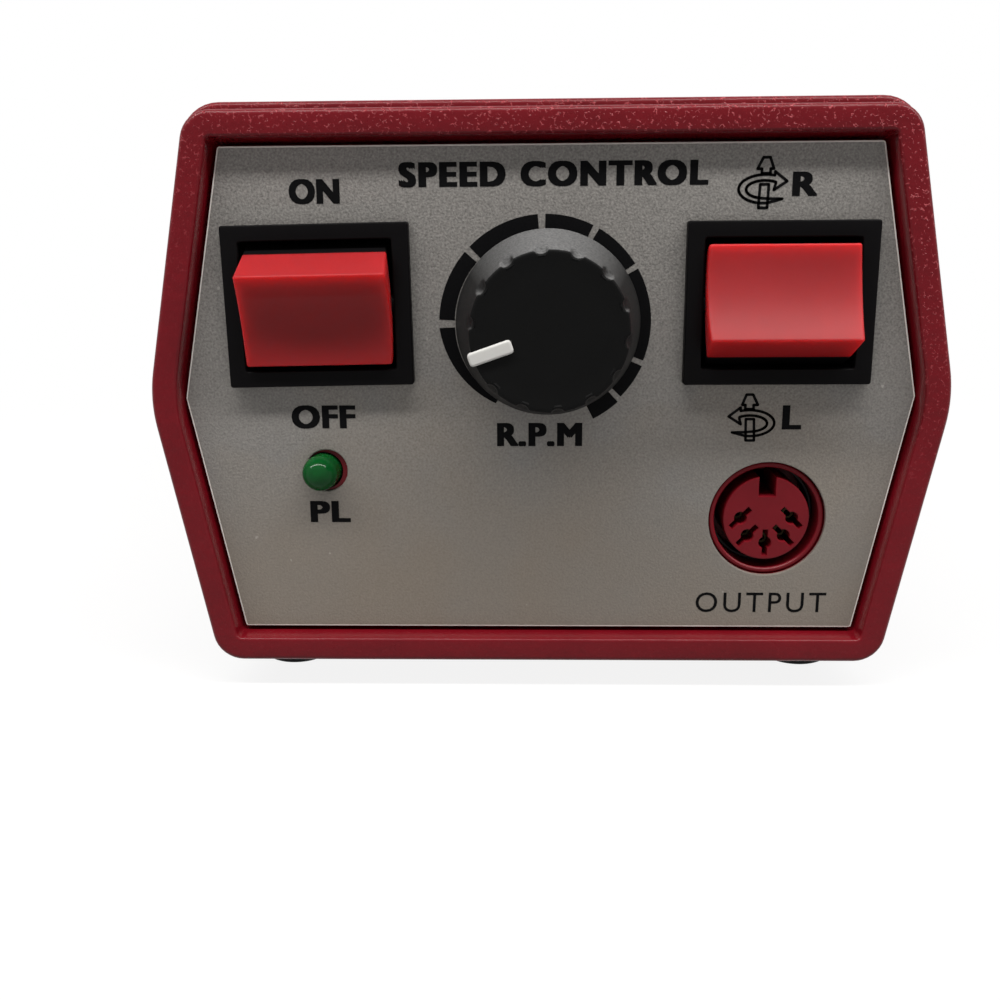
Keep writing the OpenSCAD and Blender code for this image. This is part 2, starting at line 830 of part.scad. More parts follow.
module rear_panel() {
    color(case_red) placed() difference() {
        prism(rear_in, rear_out) case_outline(inner_reach - fit_gap);
        translate([-inlet_x, 0, -inlet_down]) {
            bar(inlet_w + 2 * fit_gap, inlet_h + 2 * fit_gap, rear_in - cut, rear_out + cut);
            for (side = [-1, 1])
                translate([side * inlet_pitch / 2, 0, 0])
                    rod(inlet_screw_r + fit_gap, rear_in - cut, rear_out + cut);
        }
        translate([fitting_x, 0, -jack_down]) rod(jack_barrel_r + fit_gap, rear_in - cut, rear_out + cut);
        translate([fitting_x, 0, mode_up]) {
            bar(slider_w + mode_travel + 2 * move_gap, slider_h + 2 * move_gap, rear_in - cut,
                rear_out + cut);
            for (side = [-1, 1])
                translate([side * mode_pitch / 2, 0, 0])
                    rod(mode_screw_r + fit_gap, rear_in - cut, rear_out + cut);
        }
        for (i = [0 : vent_count - 1])
            translate([-inlet_x + (i - (vent_count - 1) / 2) * vent_pitch, 0, vent_up])
                bar(vent_w, vent_h, rear_in - cut, rear_out + cut);
    }
}

module rubber_feet() {
    foot_r = foot_d / 2;
    hole_r = foot_screw_r + fit_gap;
    head_hole_r = foot_screw_r * head_ratio + fit_gap;
    edge = corner_arc([foot_r, foot_h], [foot_r, 0], [head_hole_r, 0], foot_round);
    outline = [[hole_r, foot_seat], [hole_r, foot_h], [foot_r, foot_h], each edge, [head_hole_r, 0],
        [head_hole_r, foot_seat]];
    color(black_plastic) placed() for (p = foot_places)
        translate([p[0], p[1], base_z - foot_h]) rotate_extrude() polygon(outline);
}

module foot_screws() {
    color(bright_steel) placed() for (p = foot_places)
        translate([p[0], p[1], base_z - foot_h + foot_seat])
            screw_up(foot_screw_r, foot_screw_len, foot_screw_r * head_ratio, head_h);
}

module closing_screws() {
    color(bright_steel) placed() for (p = post_places)
        translate([p[0], p[1], seat_z]) screw_up(closing_r, closing_len, closing_head_r, closing_head_h);
}

// Rocker switches, drawn about the middle of the bezel

// Moves a piece to the left switch (side -1) or the right one (side 1)
module at_switch(side) {
    placed() translate([side * column_x, 0, switch_z]) children();
}

// Turns a piece about the rocker's pivot: a positive tilt brings the top forward
module at_pivot(tilt) {
    translate([0, -pivot_out, 0]) rotate([tilt, 0, 0]) children();
}

module switch_body(poles_two_way) {
    difference() {
        union() {
            bar(bezel_w, bezel_h, -bezel_t, 0);
            bar(body_w, body_h, -bite, switch_depth);
            for (side = [-1, 1])
                across(body_w / 2) polygon([[frame_back + fit_gap, side * (body_h / 2 - bite)],
                    [frame_back + fit_gap, side * (body_h / 2 + lug_out)],
                    [frame_back + fit_gap + lug_len, side * (body_h / 2 - bite)]]);
        }
        bar(opening_w, opening_h, -bezel_t - cut, switch_depth - switch_back_t);
        translate([0, -pivot_out, 0]) rotate([0, 90, 0])
            cylinder(r = pivot_r + run_gap, h = 2 * (pin_end + move_gap), center = true);
        for (x = [-pole_x, pole_x], z = terminal_heights(poles_two_way))
            translate([x, 0, z])
                bar(blade_w + hole_play, blade_t + hole_play, switch_depth - switch_back_t - cut,
                    switch_depth + cut);
    }
}

function terminal_heights(two_way) = two_way ? [contact_z, 0, -contact_z] : [0, -contact_z];

module rocker() {
    dish_r = (rocker_reach * rocker_reach + rocker_dish * rocker_dish) / (2 * rocker_dish);
    dish_half = asin(rocker_reach / dish_r);
    face = [for (i = [-arc_steps : arc_steps]) let (at = dish_half * i / arc_steps)
        [rocker_dish - rocker_rise - dish_r + dish_r * cos(at), dish_r * sin(at)]];
    outline = [each face, [rocker_skirt, skirt_half], [rocker_skirt, -skirt_half]];
    hollow_half = rocker_reach - rocker_wall;
    hollow_top = rocker_dish - rocker_rise + rocker_wall;
    difference() {
        union() {
            difference() {
                across(rocker_w) polygon(outline);
                across(rocker_w - 2 * rocker_wall)
                    polygon([[hollow_top, hollow_half], [rocker_skirt + cut, hollow_half],
                        [rocker_skirt + cut, -hollow_half], [hollow_top, -hollow_half]]);
            }
            for (x = [-pole_x, pole_x])
                translate([x, 0, 0]) rod(sleeve_r, hollow_top - bite, sleeve_end);
            rotate([0, 90, 0]) cylinder(r = pivot_r, h = 2 * pin_end, center = true);
        }
        for (x = [-pole_x, pole_x])
            translate([x, 0, 0]) rod(plunger_r + run_gap, -bore_top, sleeve_end + cut);
    }
}

module plungers() {
    for (x = [-pole_x, pole_x])
        translate([x, 0, 0]) {
            rod(plunger_r, plunger_start, plunger_len - plunger_r / 2);
            translate([0, plunger_len, 0]) rotate([90, 0, 0])
                cylinder(r1 = plunger_r / 2, r2 = plunger_r, h = plunger_r / 2 + bite / 4);
        }
}

module springs() {
    for (x = [-pole_x, pole_x])
        translate([x, 0, 0]) difference() {
            rod(plunger_r, -bore_top, plunger_start);
            rod(plunger_r - spring_wire, -bore_top - cut, plunger_start + cut);
        }
}

// Two seesaw arms on their pins, drawn about their own pivot
module contact_arms() {
    for (x = [-pole_x, pole_x])
        translate([x, 0, 0]) {
            bar(arm_w, arm_len, -arm_lift - arm_t, -arm_lift);
            for (side = [-1, 1])
                translate([side * (ear_in + ear_t / 2), 0, 0])
                    bar(ear_t, 2 * knuckle_half, -arm_lift - bite, knuckle_half);
            rotate([0, 90, 0]) cylinder(r = arm_pin_r, h = arm_w - ear_t, center = true);
        }
}

module at_arms(tilt) {
    translate([0, arm_axis_y, 0]) rotate([tilt, 0, 0]) children();
}

module terminals(two_way) {
    for (x = [-pole_x, pole_x])
        translate([x, 0, 0]) {
            difference() {
                union() {
                    bar(knuckle_w, 2 * knuckle_half, arm_axis_y - knuckle_half, arm_axis_y + knuckle_half);
                    bar(knuckle_w, blade_t, arm_axis_y, switch_depth - switch_back_t);
                    bar(blade_w, blade_t, switch_depth - switch_back_t - bite, blade_end);
                }
                translate([0, arm_axis_y, 0]) rotate([0, 90, 0])
                    cylinder(r = arm_pin_r + run_gap, h = knuckle_w + cut, center = true);
            }
            for (z = terminal_heights(two_way))
                if (z != 0)
                    translate([0, 0, z]) bar(blade_w, blade_t, contact_y, blade_end);
        }
}

module power_switch_body() {
    color(black_plastic) at_switch(-1) switch_body(false);
}

module power_rocker() {
    color(rocker_red) at_switch(-1) at_pivot(rocker_tilt) rocker();
}

module power_plungers() {
    color(panel_silver) at_switch(-1) at_pivot(rocker_tilt) plungers();
}

module power_springs() {
    color(bright_steel) at_switch(-1) at_pivot(rocker_tilt) springs();
}

module power_contact_arms() {
    color(brass) at_switch(-1) at_arms(-arm_tilt) contact_arms();
}

module power_terminals() {
    color(brass) at_switch(-1) terminals(false);
}

module direction_switch_body() {
    color(black_plastic) at_switch(1) switch_body(true);
}

module direction_rocker() {
    color(rocker_red) at_switch(1) at_pivot(-rocker_tilt) rocker();
}

module direction_plungers() {
    color(panel_silver) at_switch(1) at_pivot(-rocker_tilt) plungers();
}

module direction_springs() {
    color(bright_steel) at_switch(1) at_pivot(-rocker_tilt) springs();
}

module direction_contact_arms() {
    color(brass) at_switch(1) at_arms(arm_tilt) contact_arms();
}

module direction_terminals() {
    color(brass) at_switch(1) terminals(true);
}

// Speed control, drawn about the shaft

module at_knob() {
    placed() translate([0, 0, knob_z]) children();
}

// Turned to the pointer's rest angle
module at_knob_rest() {
    at_knob() rotate([0, pointer_rest, 0]) children();
}

module speed_knob() {
    skirt_top = knob_gap + knob_skirt_h;
    shaft_hole_r = shaft_r + run_gap / 2;
    color(black_plastic) at_knob_rest() difference() {
        turned() polygon([[0, knob_top], [knob_top_r, knob_top], [knob_r, skirt_top], [knob_r, knob_gap],
            [knob_hollow_r, knob_gap], [knob_hollow_r, knob_hollow_top], [hub_r, knob_hollow_top],
            [hub_r, hub_base], [shaft_hole_r, hub_base], [shaft_hole_r, hub_end], [0, hub_end]]);
        for (i = [0 : flute_count - 1])
            rotate([0, (i + 0.5) * 360 / flute_count, 0])
                translate([0, -knob_top, knob_top_r - flute_d + flute_r]) rotate([-90 - flute_side, 0, 0])
                    translate([0, 0, -cut]) cylinder(r = flute_r, h = knob_top - flute_from + cut);
        pointer_shape(0);
    }
}

// Bar from near the middle of the knob's top to past its edge
module pointer_shape(gap) {
    translate([-pointer_w / 2 + gap, -knob_top - pointer_up, pointer_in + gap])
        cube([pointer_w - 2 * gap, pointer_up + pointer_sink - gap, pointer_len - gap]);
}

module knob_pointer() {
    color("#e6e6e2") at_knob_rest() pointer_shape(run_gap / 2);
}

module pot_shaft() {
    color(bright_steel) at_knob_rest() rod(shaft_r, -hub_end + fit_gap, wiper_y);
}

module pot_wiper() {
    color("#6b5a3a") at_knob_rest() difference() {
        rod(pot_r - pot_wall - wiper_gap, wiper_y, wiper_y + wiper_t);
        translate([0, 0, pot_r / 2]) rod(wiper_hole_r, wiper_y - cut, wiper_y + wiper_t + cut);
    }
}

module pot_housing() {
    color(tin) at_knob() difference() {
        union() {
            rod(pot_r, frame_back, frame_back + pot_d);
            rod(bush_r, -bush_out, frame_back + bite);
            translate([0, frame_back + pot_d / 2, lug_bottom])
                block(3 * lug_pitch, lug_block_t, lug_block_h);
        }
        rod(shaft_r + run_gap, -bush_out - cut, frame_back + pot_wall + cut);
        rod(pot_r - pot_wall, frame_back + pot_wall, frame_back + pot_d - pot_wall);
    }
}

module pot_washer() {
    color(bright_steel) at_knob() difference() {
        rod(bush_nut_w / 2 + washer_lip, -washer_t, 0);
        rod(bush_r + run_gap, -washer_t - cut, cut);
    }
}

module pot_nut() {
    color(bright_steel) at_knob() translate([0, -washer_t, 0]) rotate([90, 0, 0])
        nut(bush_nut_w, bush_r + run_gap, bush_nut_t);
}

module pot_terminals() {
    color(tin) at_knob() for (i = [-1, 0, 1])
        translate([i * lug_pitch, frame_back + pot_d / 2, lug_bottom - lug_reach]) difference() {
            block(lug_w, lug_t, lug_reach);
            translate([0, 0, lug_hole_up]) rod(lug_hole_r, -cut, cut);
        }
}

// Pilot lamp

module at_led() {
    placed() translate([-column_x, 0, -led_down]) children();
}

module led_lamp() {
    base = -frame_back - led_flange_t;
    dome = [for (i = [0 : arc_steps]) let (at = 90 * i / arc_steps)
        [led_r * cos(at), led_out - led_r + led_r * sin(at)]];
    color("#1f8a3c") at_led() turned()
        polygon([[0, base], [led_flange_r, base], [led_flange_r, -frame_back], [led_r, -frame_back],
            each dome]);
}

module led_ring() {
    color(black_plastic) at_led() difference() {
        rod(led_ring_r, frame_back, frame_back + led_ring_d);
        rod(led_flange_r + hole_play, frame_back - cut, frame_back + led_flange_t);
        rod(led_r - led_ring_step, frame_back, frame_back + led_ring_d + cut);
    }
}

module led_leads() {
    color(tin) at_led() for (side = [-1, 1])
        translate([side * led_lead_x, 0, 0]) rod(led_lead_r, frame_back + led_flange_t, led_lead_end);
}

// Output socket

module at_output() {
    placed() translate([column_x, 0, -output_down]) children();
}

module output_socket() {
    flange_y = frame_back + pad_t;
    color(case_red) at_output() difference() {
        union() {
            rod(output_r, output_sink, output_depth);
            bar(output_flange_w, output_flange_h, flange_y, flange_y + output_flange_t);
        }
        rod(slot_r, output_sink - cut, slot_floor);
        rod(stem_r + run_gap, slot_floor - cut, output_depth + cut);
        for (side = [-1, 1])
            translate([0, 0, side * output_pitch / 2])
                rod(output_screw_r + fit_gap, flange_y - cut, flange_y + output_flange_t + cut);
    }
}

// Insulating core: its shoulder stands on the floor of the collar, its stem goes through it
module output_core() {
    color(case_red) at_output() difference() {
        union() {
            rod(core_r, output_sink, slot_floor);
            rod(stem_r, slot_floor - bite, output_depth);
        }
        translate([0, 0, key_floor + core_r / 2]) bar(key_w, core_r, output_sink - cut, slot_floor);
        for (i = [0 : len(contact_angles) - 1])
            rotate([0, -contact_angles[i], 0]) translate([contact_pcd / 2, 0, 0]) {
                rod(contact_r, output_sink - cut, output_depth + cut, $fn = contact_sides);
                rotate([0, contact_angles[i] - slit_angles[i], 0])
                    bar(slit_len, slit_w, output_sink - cut, output_sink + slit_d);
            }
    }
}

module output_shield() {
    color(bright_steel) at_output() difference() {
        rod(slot_r - run_gap / 2, 2 * output_sink, slot_floor);
        rod(slot_r - shield_t, output_sink, slot_floor + cut);
    }
}

module output_contacts() {
    sleeve = contact_r - run_gap / 2;
    color(brass) at_output() for (a = contact_angles)
        rotate([0, -a, 0]) translate([contact_pcd / 2, 0, 0]) difference() {
            rod(sleeve, output_sink + slit_d, output_depth + contact_tail, $fn = contact_sides);
            rod(sleeve - contact_wall, output_sink + slit_d - cut, output_depth - contact_floor,
                $fn = contact_sides);
        }
}

module output_screws() {
    color(bright_steel) at_output() for (side = [-1, 1])
        translate([0, frame_back + pad_t + output_flange_t, side * output_pitch / 2])
            screw_front(output_screw_r, output_screw_len, output_screw_r * head_ratio, head_h);
}

// Rear fittings

module at_inlet() {
    placed() translate([-inlet_x, rear_out, -inlet_down]) children();
}

// Outline of the inlet's hollow, with its two upper corners cut off
module inlet_mouth() {
    half_w = inlet_mouth_w / 2;
    half_h = inlet_mouth_h / 2;
    slant = inlet_mouth_h / 4;
    polygon([[-half_w, -half_h], [half_w, -half_h], [half_w, half_h - slant], [half_w - slant, half_h],
        [slant - half_w, half_h], [-half_w, half_h - slant]]);
}

module mains_inlet() {
    color(black_plastic) at_inlet() difference() {
        union() {
            bar(inlet_flange_w, inlet_flange_h, 0, inlet_flange_t);
            bar(inlet_w, inlet_h, -inlet_depth, bite);
        }
        prism(inlet_floor - inlet_depth, inlet_flange_t + cut) inlet_mouth();
        for (p = inlet_pin_places)
            translate([p[0], 0, p[1]])
                bar(inlet_pin_w + hole_play, inlet_pin_t + hole_play, -inlet_depth - cut, 0);
        for (side = [-1, 1])
            translate([side * inlet_pitch / 2, 0, 0])
                rod(inlet_screw_r + fit_gap, -cut, inlet_flange_t + cut);
    }
}

module inlet_pins() {
    color(tin) at_inlet() for (p = inlet_pin_places)
        translate([p[0], 0, p[1]]) {
            bar(inlet_pin_w, inlet_pin_t, -inlet_depth, inlet_floor - inlet_depth + inlet_pin_len);
            bar(inlet_tab_w, blade_t, -inlet_depth - inlet_tab_len, -inlet_depth);
        }
}

module inlet_screws() {
    color(bright_steel) at_inlet() for (side = [-1, 1])
        translate([side * inlet_pitch / 2, inlet_flange_t, 0])
            screw_front(inlet_screw_r, inlet_flange_t + rear_t + inlet_nut_t + screw_past,
                inlet_screw_r * head_ratio, head_h);
}

module inlet_nuts() {
    color(bright_steel) at_inlet() for (side = [-1, 1])
        translate([side * inlet_pitch / 2, -rear_t, 0]) rotate([90, 0, 0])
            nut(inlet_nut_w, inlet_screw_r + run_gap, inlet_nut_t);
}

module at_jack() {
    placed() translate([fitting_x, rear_out, -jack_down]) children();
}

module pedal_jack() {
    color(black_plastic) at_jack() difference() {
        union() {
            rod(jack_barrel_r, -rear_t - bite, jack_out);
            bar(jack_body, jack_body, -rear_t - jack_body_d - jack_floor, -rear_t);
        }
        rod(jack_bore_r, jack_out - jack_depth, jack_out + cut);
    }
}

module jack_nut() {
    color(bright_steel) at_jack() translate([0, jack_nut_t, 0]) rotate([90, 0, 0])
        nut(jack_nut_w, jack_barrel_r + run_gap, jack_nut_t);
}

module at_mode() {
    placed() translate([fitting_x, rear_in, mode_up]) children();
}

module mode_switch_body() {
    color(bright_steel) at_mode() difference() {
        union() {
            bar(mode_pitch + mode_plate_ends, mode_plate_h, -mode_plate_t, 0);
            bar(mode_body_w, mode_body_h, -mode_body_d, -mode_plate_t + bite);
        }
        bar(mode_hollow_w, mode_hollow_h, mode_wall - mode_body_d, -mode_plate_t);
        bar(slider_w + mode_travel + 2 * move_gap, slider_h + 2 * move_gap, -mode_plate_t - cut, cut);
        for (side = [-1, 1])
            translate([side * mode_pitch / 2, 0, 0]) rod(mode_screw_r + run_gap, -mode_plate_t - cut, cut);
    }
}

// The slider rests at the left end of its travel
module mode_slider() {
    base_y = -mode_plate_t - move_gap - slider_base_t;
    color(black_plastic) at_mode() translate([-mode_travel / 2, 0, 0]) {
        bar(slider_base_w, slider_base_h, base_y, base_y + slider_base_t);
        bar(slider_w, slider_h, base_y + slider_base_t - bite, rear_t + slider_out);
    }
}

module mode_screws() {
    color(bright_steel) at_mode() for (side = [-1, 1])
        translate([side * mode_pitch / 2, rear_t, 0])
            screw_front(mode_screw_r, rear_t + mode_plate_t + screw_past, mode_screw_r * head_ratio,
                head_h / 2);
}

// Power supply

module at_core() {
    placed() translate([0, core_y, core_z]) children();
}

module transformer_core() {
    color("#4d4d52") at_core() difference() {
        block(core_w, core_stack, core_h);
        for (side = [-1, 1])
            translate([side * 1.5 * core_leg, 0, core_leg]) block(core_leg, core_stack + 2 * cut, window_h);
    }
}

// Square tube round the middle leg, grown by reach
module leg_tube(reach, height) {
    block(2 * (core_leg + reach), core_stack + 2 * reach, height);
}

module transformer_bobbin() {
    color("#d8d2c0") at_core() translate([0, 0, core_leg + bobbin_gap]) difference() {
        union() {
            leg_tube(bobbin_gap + bobbin_t, window_h - 2 * bobbin_gap);
            for (z = [0, window_h - 2 * bobbin_gap - bobbin_t])
                translate([0, 0, z]) leg_tube(core_leg - bobbin_gap, bobbin_t);
        }
        translate([0, 0, -cut]) leg_tube(bobbin_gap, window_h + 2 * cut);
    }
}

module transformer_winding() {
    height = window_h - 4 * bobbin_gap - 2 * bobbin_t;
    color("#b5642a") at_core() translate([0, 0, core_leg + 2 * bobbin_gap + bobbin_t]) difference() {
        leg_tube(coil_reach, height);
        translate([0, 0, -cut]) leg_tube(bobbin_gap + bobbin_t + run_gap, height + 2 * cut);
    }
}

module transformer_bracket() {
    span = core_w + 2 * bracket_t;
    color(bright_steel) at_core() difference() {
        union() {
            translate([0, 0, core_h]) block(span, core_stack, bracket_t);
            for (side = [-1, 1]) {
                translate([side * (core_w + bracket_t) / 2, 0, 0])
                    block(bracket_t, core_stack, core_h + bite);
                translate([side * (bracket_screw_x - bite / 2), 0, 0])
                    block(bracket_foot + bite, core_stack, bracket_t);
            }
        }
        for (side = [-1, 1])
            translate([side * bracket_screw_x, 0, -cut])
                cylinder(r = bracket_screw_r + fit_gap, h = bracket_t + 2 * cut);
    }
}

module transformer_screws() {
    color(bright_steel) at_core() for (side = [-1, 1])
        translate([side * bracket_screw_x, 0, bracket_t])
            screw_down(bracket_screw_r, bracket_t + bracket_boss_h, bracket_screw_r * head_ratio, head_h);
}

// Control board

module at_board() {
    placed() translate([0, 0, board_top]) children();
}

module control_board() {
    color("#2c6b3f") placed() difference() {
        translate([0, board_y, board_z]) block(board_w, board_d, board_t);
        for (p = board_screw_places)
            translate([p[0], p[1], board_z - cut])
                cylinder(r = board_screw_r + fit_gap, h = board_t + 2 * cut);
    }
}

module board_screws() {
    color(bright_steel) at_board() for (p = board_screw_places)
        translate([p[0], p[1], 0])
            screw_down(board_screw_r, board_t + board_up - screw_past, board_screw_r * head_ratio, head_h);
}

module main_capacitor() {
    color("#22305c") at_board() translate([capacitor_at[0], capacitor_at[1], 0]) difference() {
        cylinder(r = capacitor_r, h = capacitor_h);
        translate([0, 0, crimp_up]) rotate_extrude()
            translate([capacitor_r + crimp_out, 0]) circle(r = crimp_r);
    }
}

module bridge_rectifier() {
    color(black_plastic) at_board() translate([rectifier_at[0], rectifier_at[1], 0])
        block(rectifier_size[0], rectifier_size[1], rectifier_size[2]);
}

module at_sink() {
    at_board() translate([sink_at[0], sink_at[1], 0]) children();
}

module heat_sink() {
    fin_step = (sink_w - fin_t) / (fin_count - 1);
    color("#8d9094") at_sink() difference() {
        union() {
            translate([0, sink_base_t / 2, 0]) block(sink_w, sink_base_t, sink_h);
            for (i = [0 : fin_count - 1])
                translate([i * fin_step - (sink_w - fin_t) / 2, sink_base_t + fin_len / 2 - bite, 0])
                    block(fin_t, fin_len, sink_h);
        }
        translate([0, 0, lead_h + tab_hole_z]) rod(tab_screw_r + run_gap, -cut, sink_base_t + fin_len + cut);
    }
}

module power_transistor() {
    color(black_plastic) at_sink() difference() {
        union() {
            translate([0, -tab_t / 2, lead_h]) block(transistor_w, tab_t, tab_h);
            translate([0, -transistor_t / 2, lead_h]) block(transistor_w, transistor_t, transistor_h);
            for (i = [-1, 0, 1])
                translate([i * lead_pitch, -transistor_t / 2, 0]) block(lead_w, lead_t, lead_h + bite);
        }
        translate([0, 0, lead_h + tab_hole_z]) rod(tab_hole_r, -transistor_t - cut, cut);
    }
}

module transistor_screw() {
    color(bright_steel) at_sink() translate([0, -tab_t, lead_h + tab_hole_z]) rotate([0, 0, 180])
        screw_front(tab_screw_r, tab_t + sink_base_t, tab_screw_r * head_ratio, head_h);
}

module at_fuse() {
    at_board() translate([fuse_at[0], fuse_at[1], fuse_up]) rotate([0, 0, 90]) children();
}

module board_fuse() {
    color("#d9dde0") at_fuse() rotate([0, 90, 0]) {
        cylinder(r = fuse_r - fuse_cap_t, h = fuse_len, center = true);
        for (side = [-1, 1])
            translate([0, 0, side * (fuse_len - fuse_cap_len) / 2])
                cylinder(r = fuse_r, h = fuse_cap_len, center = true);
    }
}

module fuse_clips() {
    outer = fuse_r + clip_t + run_gap;
    color(brass) at_fuse() for (side = [-1, 1])
        translate([side * (fuse_len - fuse_cap_len) / 2, 0, -fuse_up]) difference() {
            block(clip_w, 2 * outer, fuse_up + fuse_r / 2);
            translate([0, 0, fuse_up]) {
                rotate([0, 90, 0]) cylinder(r = fuse_r + run_gap, h = clip_w + cut, center = true);
                block(clip_w + cut, 2 * fuse_r * cos(clip_mouth), fuse_r);
            }
        }
}

module board_connectors() {
    size = connector_size;
    row_x = connector_inset[0] - board_w / 2;
    row_y = board_front + connector_inset[1];
    color("#ece8dc") at_board() for (i = [0 : connector_count - 1])
        translate([row_x + i * connector_pitch, row_y, 0]) difference() {
            block(size[0], size[1], size[2]);
            translate([0, 0, connector_floor])
                block(size[0] - 2 * connector_wall, size[1] - 2 * connector_wall, size[2]);
        }
}

front_frame();
panel_overlay();
upper_cover();
lower_case();
rear_panel();
rubber_feet();
foot_screws();
closing_screws();
power_switch_body();
power_rocker();
power_plungers();
power_springs();
power_contact_arms();
power_terminals();
direction_switch_body();
direction_rocker();
direction_plungers();
direction_springs();
direction_contact_arms();
direction_terminals();
speed_knob();
knob_pointer();
pot_shaft();
pot_wiper();
pot_housing();
pot_washer();
pot_nut();
pot_terminals();
led_lamp();
led_ring();
led_leads();
output_socket();
output_core();
output_shield();
output_contacts();
output_screws();
mains_inlet();
inlet_pins();
inlet_screws();
inlet_nuts();
pedal_jack();
jack_nut();
mode_switch_body();
mode_slider();
mode_screws();
transformer_core();
transformer_bobbin();
transformer_winding();
transformer_bracket();
transformer_screws();
control_board();
board_screws();
main_capacitor();
bridge_rectifier();
power_transistor();
transistor_screw();
heat_sink();
board_fuse();
fuse_clips();
board_connectors();
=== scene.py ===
"""Looks of a nail drill's control box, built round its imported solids.

Metres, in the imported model's own frame: X to the right, Y to the back, Z up.
"""

from __future__ import annotations

import logging
import math
from dataclasses import dataclass, field
from enum import Enum
from typing import Optional, Sequence

import bmesh
import bpy
from mathutils import Matrix, Vector


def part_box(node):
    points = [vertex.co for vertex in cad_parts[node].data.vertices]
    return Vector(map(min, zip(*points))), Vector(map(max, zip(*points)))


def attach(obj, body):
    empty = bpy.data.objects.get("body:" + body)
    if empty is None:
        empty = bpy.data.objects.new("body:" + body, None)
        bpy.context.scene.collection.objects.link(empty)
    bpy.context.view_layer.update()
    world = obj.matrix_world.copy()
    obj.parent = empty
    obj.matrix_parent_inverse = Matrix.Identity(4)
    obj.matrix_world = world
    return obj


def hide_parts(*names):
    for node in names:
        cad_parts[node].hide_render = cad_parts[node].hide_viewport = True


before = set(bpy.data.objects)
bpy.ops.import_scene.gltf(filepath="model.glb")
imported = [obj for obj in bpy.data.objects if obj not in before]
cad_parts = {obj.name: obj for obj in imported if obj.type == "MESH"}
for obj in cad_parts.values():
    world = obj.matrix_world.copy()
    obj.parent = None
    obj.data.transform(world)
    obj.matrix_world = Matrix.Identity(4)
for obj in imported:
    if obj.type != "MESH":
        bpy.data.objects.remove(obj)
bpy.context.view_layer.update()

MM = 0.001
LOG = logging.getLogger("control_box")

Point = tuple[float, float]
Loop = list[Point]
Colour = tuple[float, float, float]

BLACK: Colour = (0.0, 0.0, 0.0)
WHITE: Colour = (1.0, 1.0, 1.0)
# Values of a noise between which a soft pattern runs from one colour to the other
SOFT: Point = (0.3, 0.7)
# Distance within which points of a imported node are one
SEAM = 0.002 * MM
# Seed of the turns of repeated pieces
TURN_SEED = 7


class Side(Enum):
    """The two columns of the panel."""

    LEFT = -1
    RIGHT = 1


class Half(Enum):
    """The two shells of the case."""

    UPPER = 1
    LOWER = -1


class Weight(Enum):
    """Weights of the panel's lettering, as what a stroke gains to each side and up and down."""

    THIN = (0.0, 0.0)
    BOLD = (0.25 * MM, 0.1 * MM)
    HEAVY = (0.29 * MM, 0.12 * MM)


def ink(red: int, green: int, blue: int) -> Colour:
    """Turns a colour of 0 to 255 a channel into the linear values that shaders take.

    Args:
        red: Red channel.
        green: Green channel.
        blue: Blue channel.

    Returns:
        The linear colour.
    """
    def linear(value: int) -> float:
        """One channel, by the standard curve."""
        part = value / 255
        return part / 12.92 if part <= 0.04045 else ((part + 0.055) / 1.055) ** 2.4
    return linear(red), linear(green), linear(blue)


def shaded(colour: Colour, *shares: float) -> Colour:
    """A colour times one share, or times a share for each channel."""
    each = shares if len(shares) == 3 else shares * 3
    return tuple(part * share for part, share in zip(colour, each))


def grey(level: float) -> Colour:
    """A grey of one linear value."""
    return level, level, level


# Outlines in the plane of the panel


def quarter(steps: int) -> list[Point]:
    """Cosine and sine of each even turn from nought to a right angle."""
    turns = [math.pi / 2 * k / steps for k in range(steps + 1)]
    return [(math.cos(turn), math.sin(turn)) for turn in turns]


def circle(x: float, z: float, radius: float, count: int = 72) -> Loop:
    """Round outline, anticlockwise.

    Args:
        x: Centre, to the right.
        z: Centre, up.
        radius: Radius.
        count: Number of points.

    Returns:
        The outline's points.
    """
    turns = [math.tau * i / count for i in range(count)]
    return [(x + radius * math.cos(t), z + radius * math.sin(t)) for t in turns]


def rounded(corners: Sequence[Point], radii: Sequence[float], steps: int = 6) -> Loop:
    """Rounds each corner of an outline with an arc.

    Args:
        corners: Corners in order.
        radii: Radius of each corner.
        steps: Number of segments in an arc.

    Returns:
        The outline's points, steps + 1 for each corner.
    """
    points: Loop = []
    for i, corner in enumerate(corners):
        here = Vector(corner)
        back = (Vector(corners[i - 1]) - here).normalized()
        ahead = (Vector(corners[(i + 1) % len(corners)]) - here).normalized()
        half = back.angle(ahead) / 2
        middle = here + (back + ahead).normalized() * radii[i] / math.sin(half)
        start = here + back * radii[i] / math.tan(half) - middle
        turn = start.angle_signed(here + ahead * radii[i] / math.tan(half) - middle)
        for k in range(steps + 1):
            spoke = start.copy()
            spoke.rotate(Matrix.Rotation(-turn * k / steps, 2))
            points.append((middle.x + spoke.x, middle.y + spoke.y))
    return points


def oblong(x: float, z: float, width: float, height: float, radius: float, steps: int = 6) -> Loop:
    """Rectangle with rounded corners, anticlockwise.

    Args:
        x: Centre, to the right.
        z: Centre, up.
        width: Size along X.
        height: Size along Z.
        radius: Radius of the corners.
        steps: Number of segments in a corner.

    Returns:
        The outline's points.
    """
    w, h = width / 2, height / 2
    corners = [(x - w, z - h), (x + w, z - h), (x + w, z + h), (x - w, z + h)]
    return rounded(corners, [radius] * 4, steps)


def area(loop: Sequence[Point]) -> float:
    """Signed area of an outline, positive where it runs anticlockwise."""
    ends = zip(loop, list(loop[1:]) + [loop[0]])
    return sum(a[0] * b[1] - b[0] * a[1] for a, b in ends) / 2


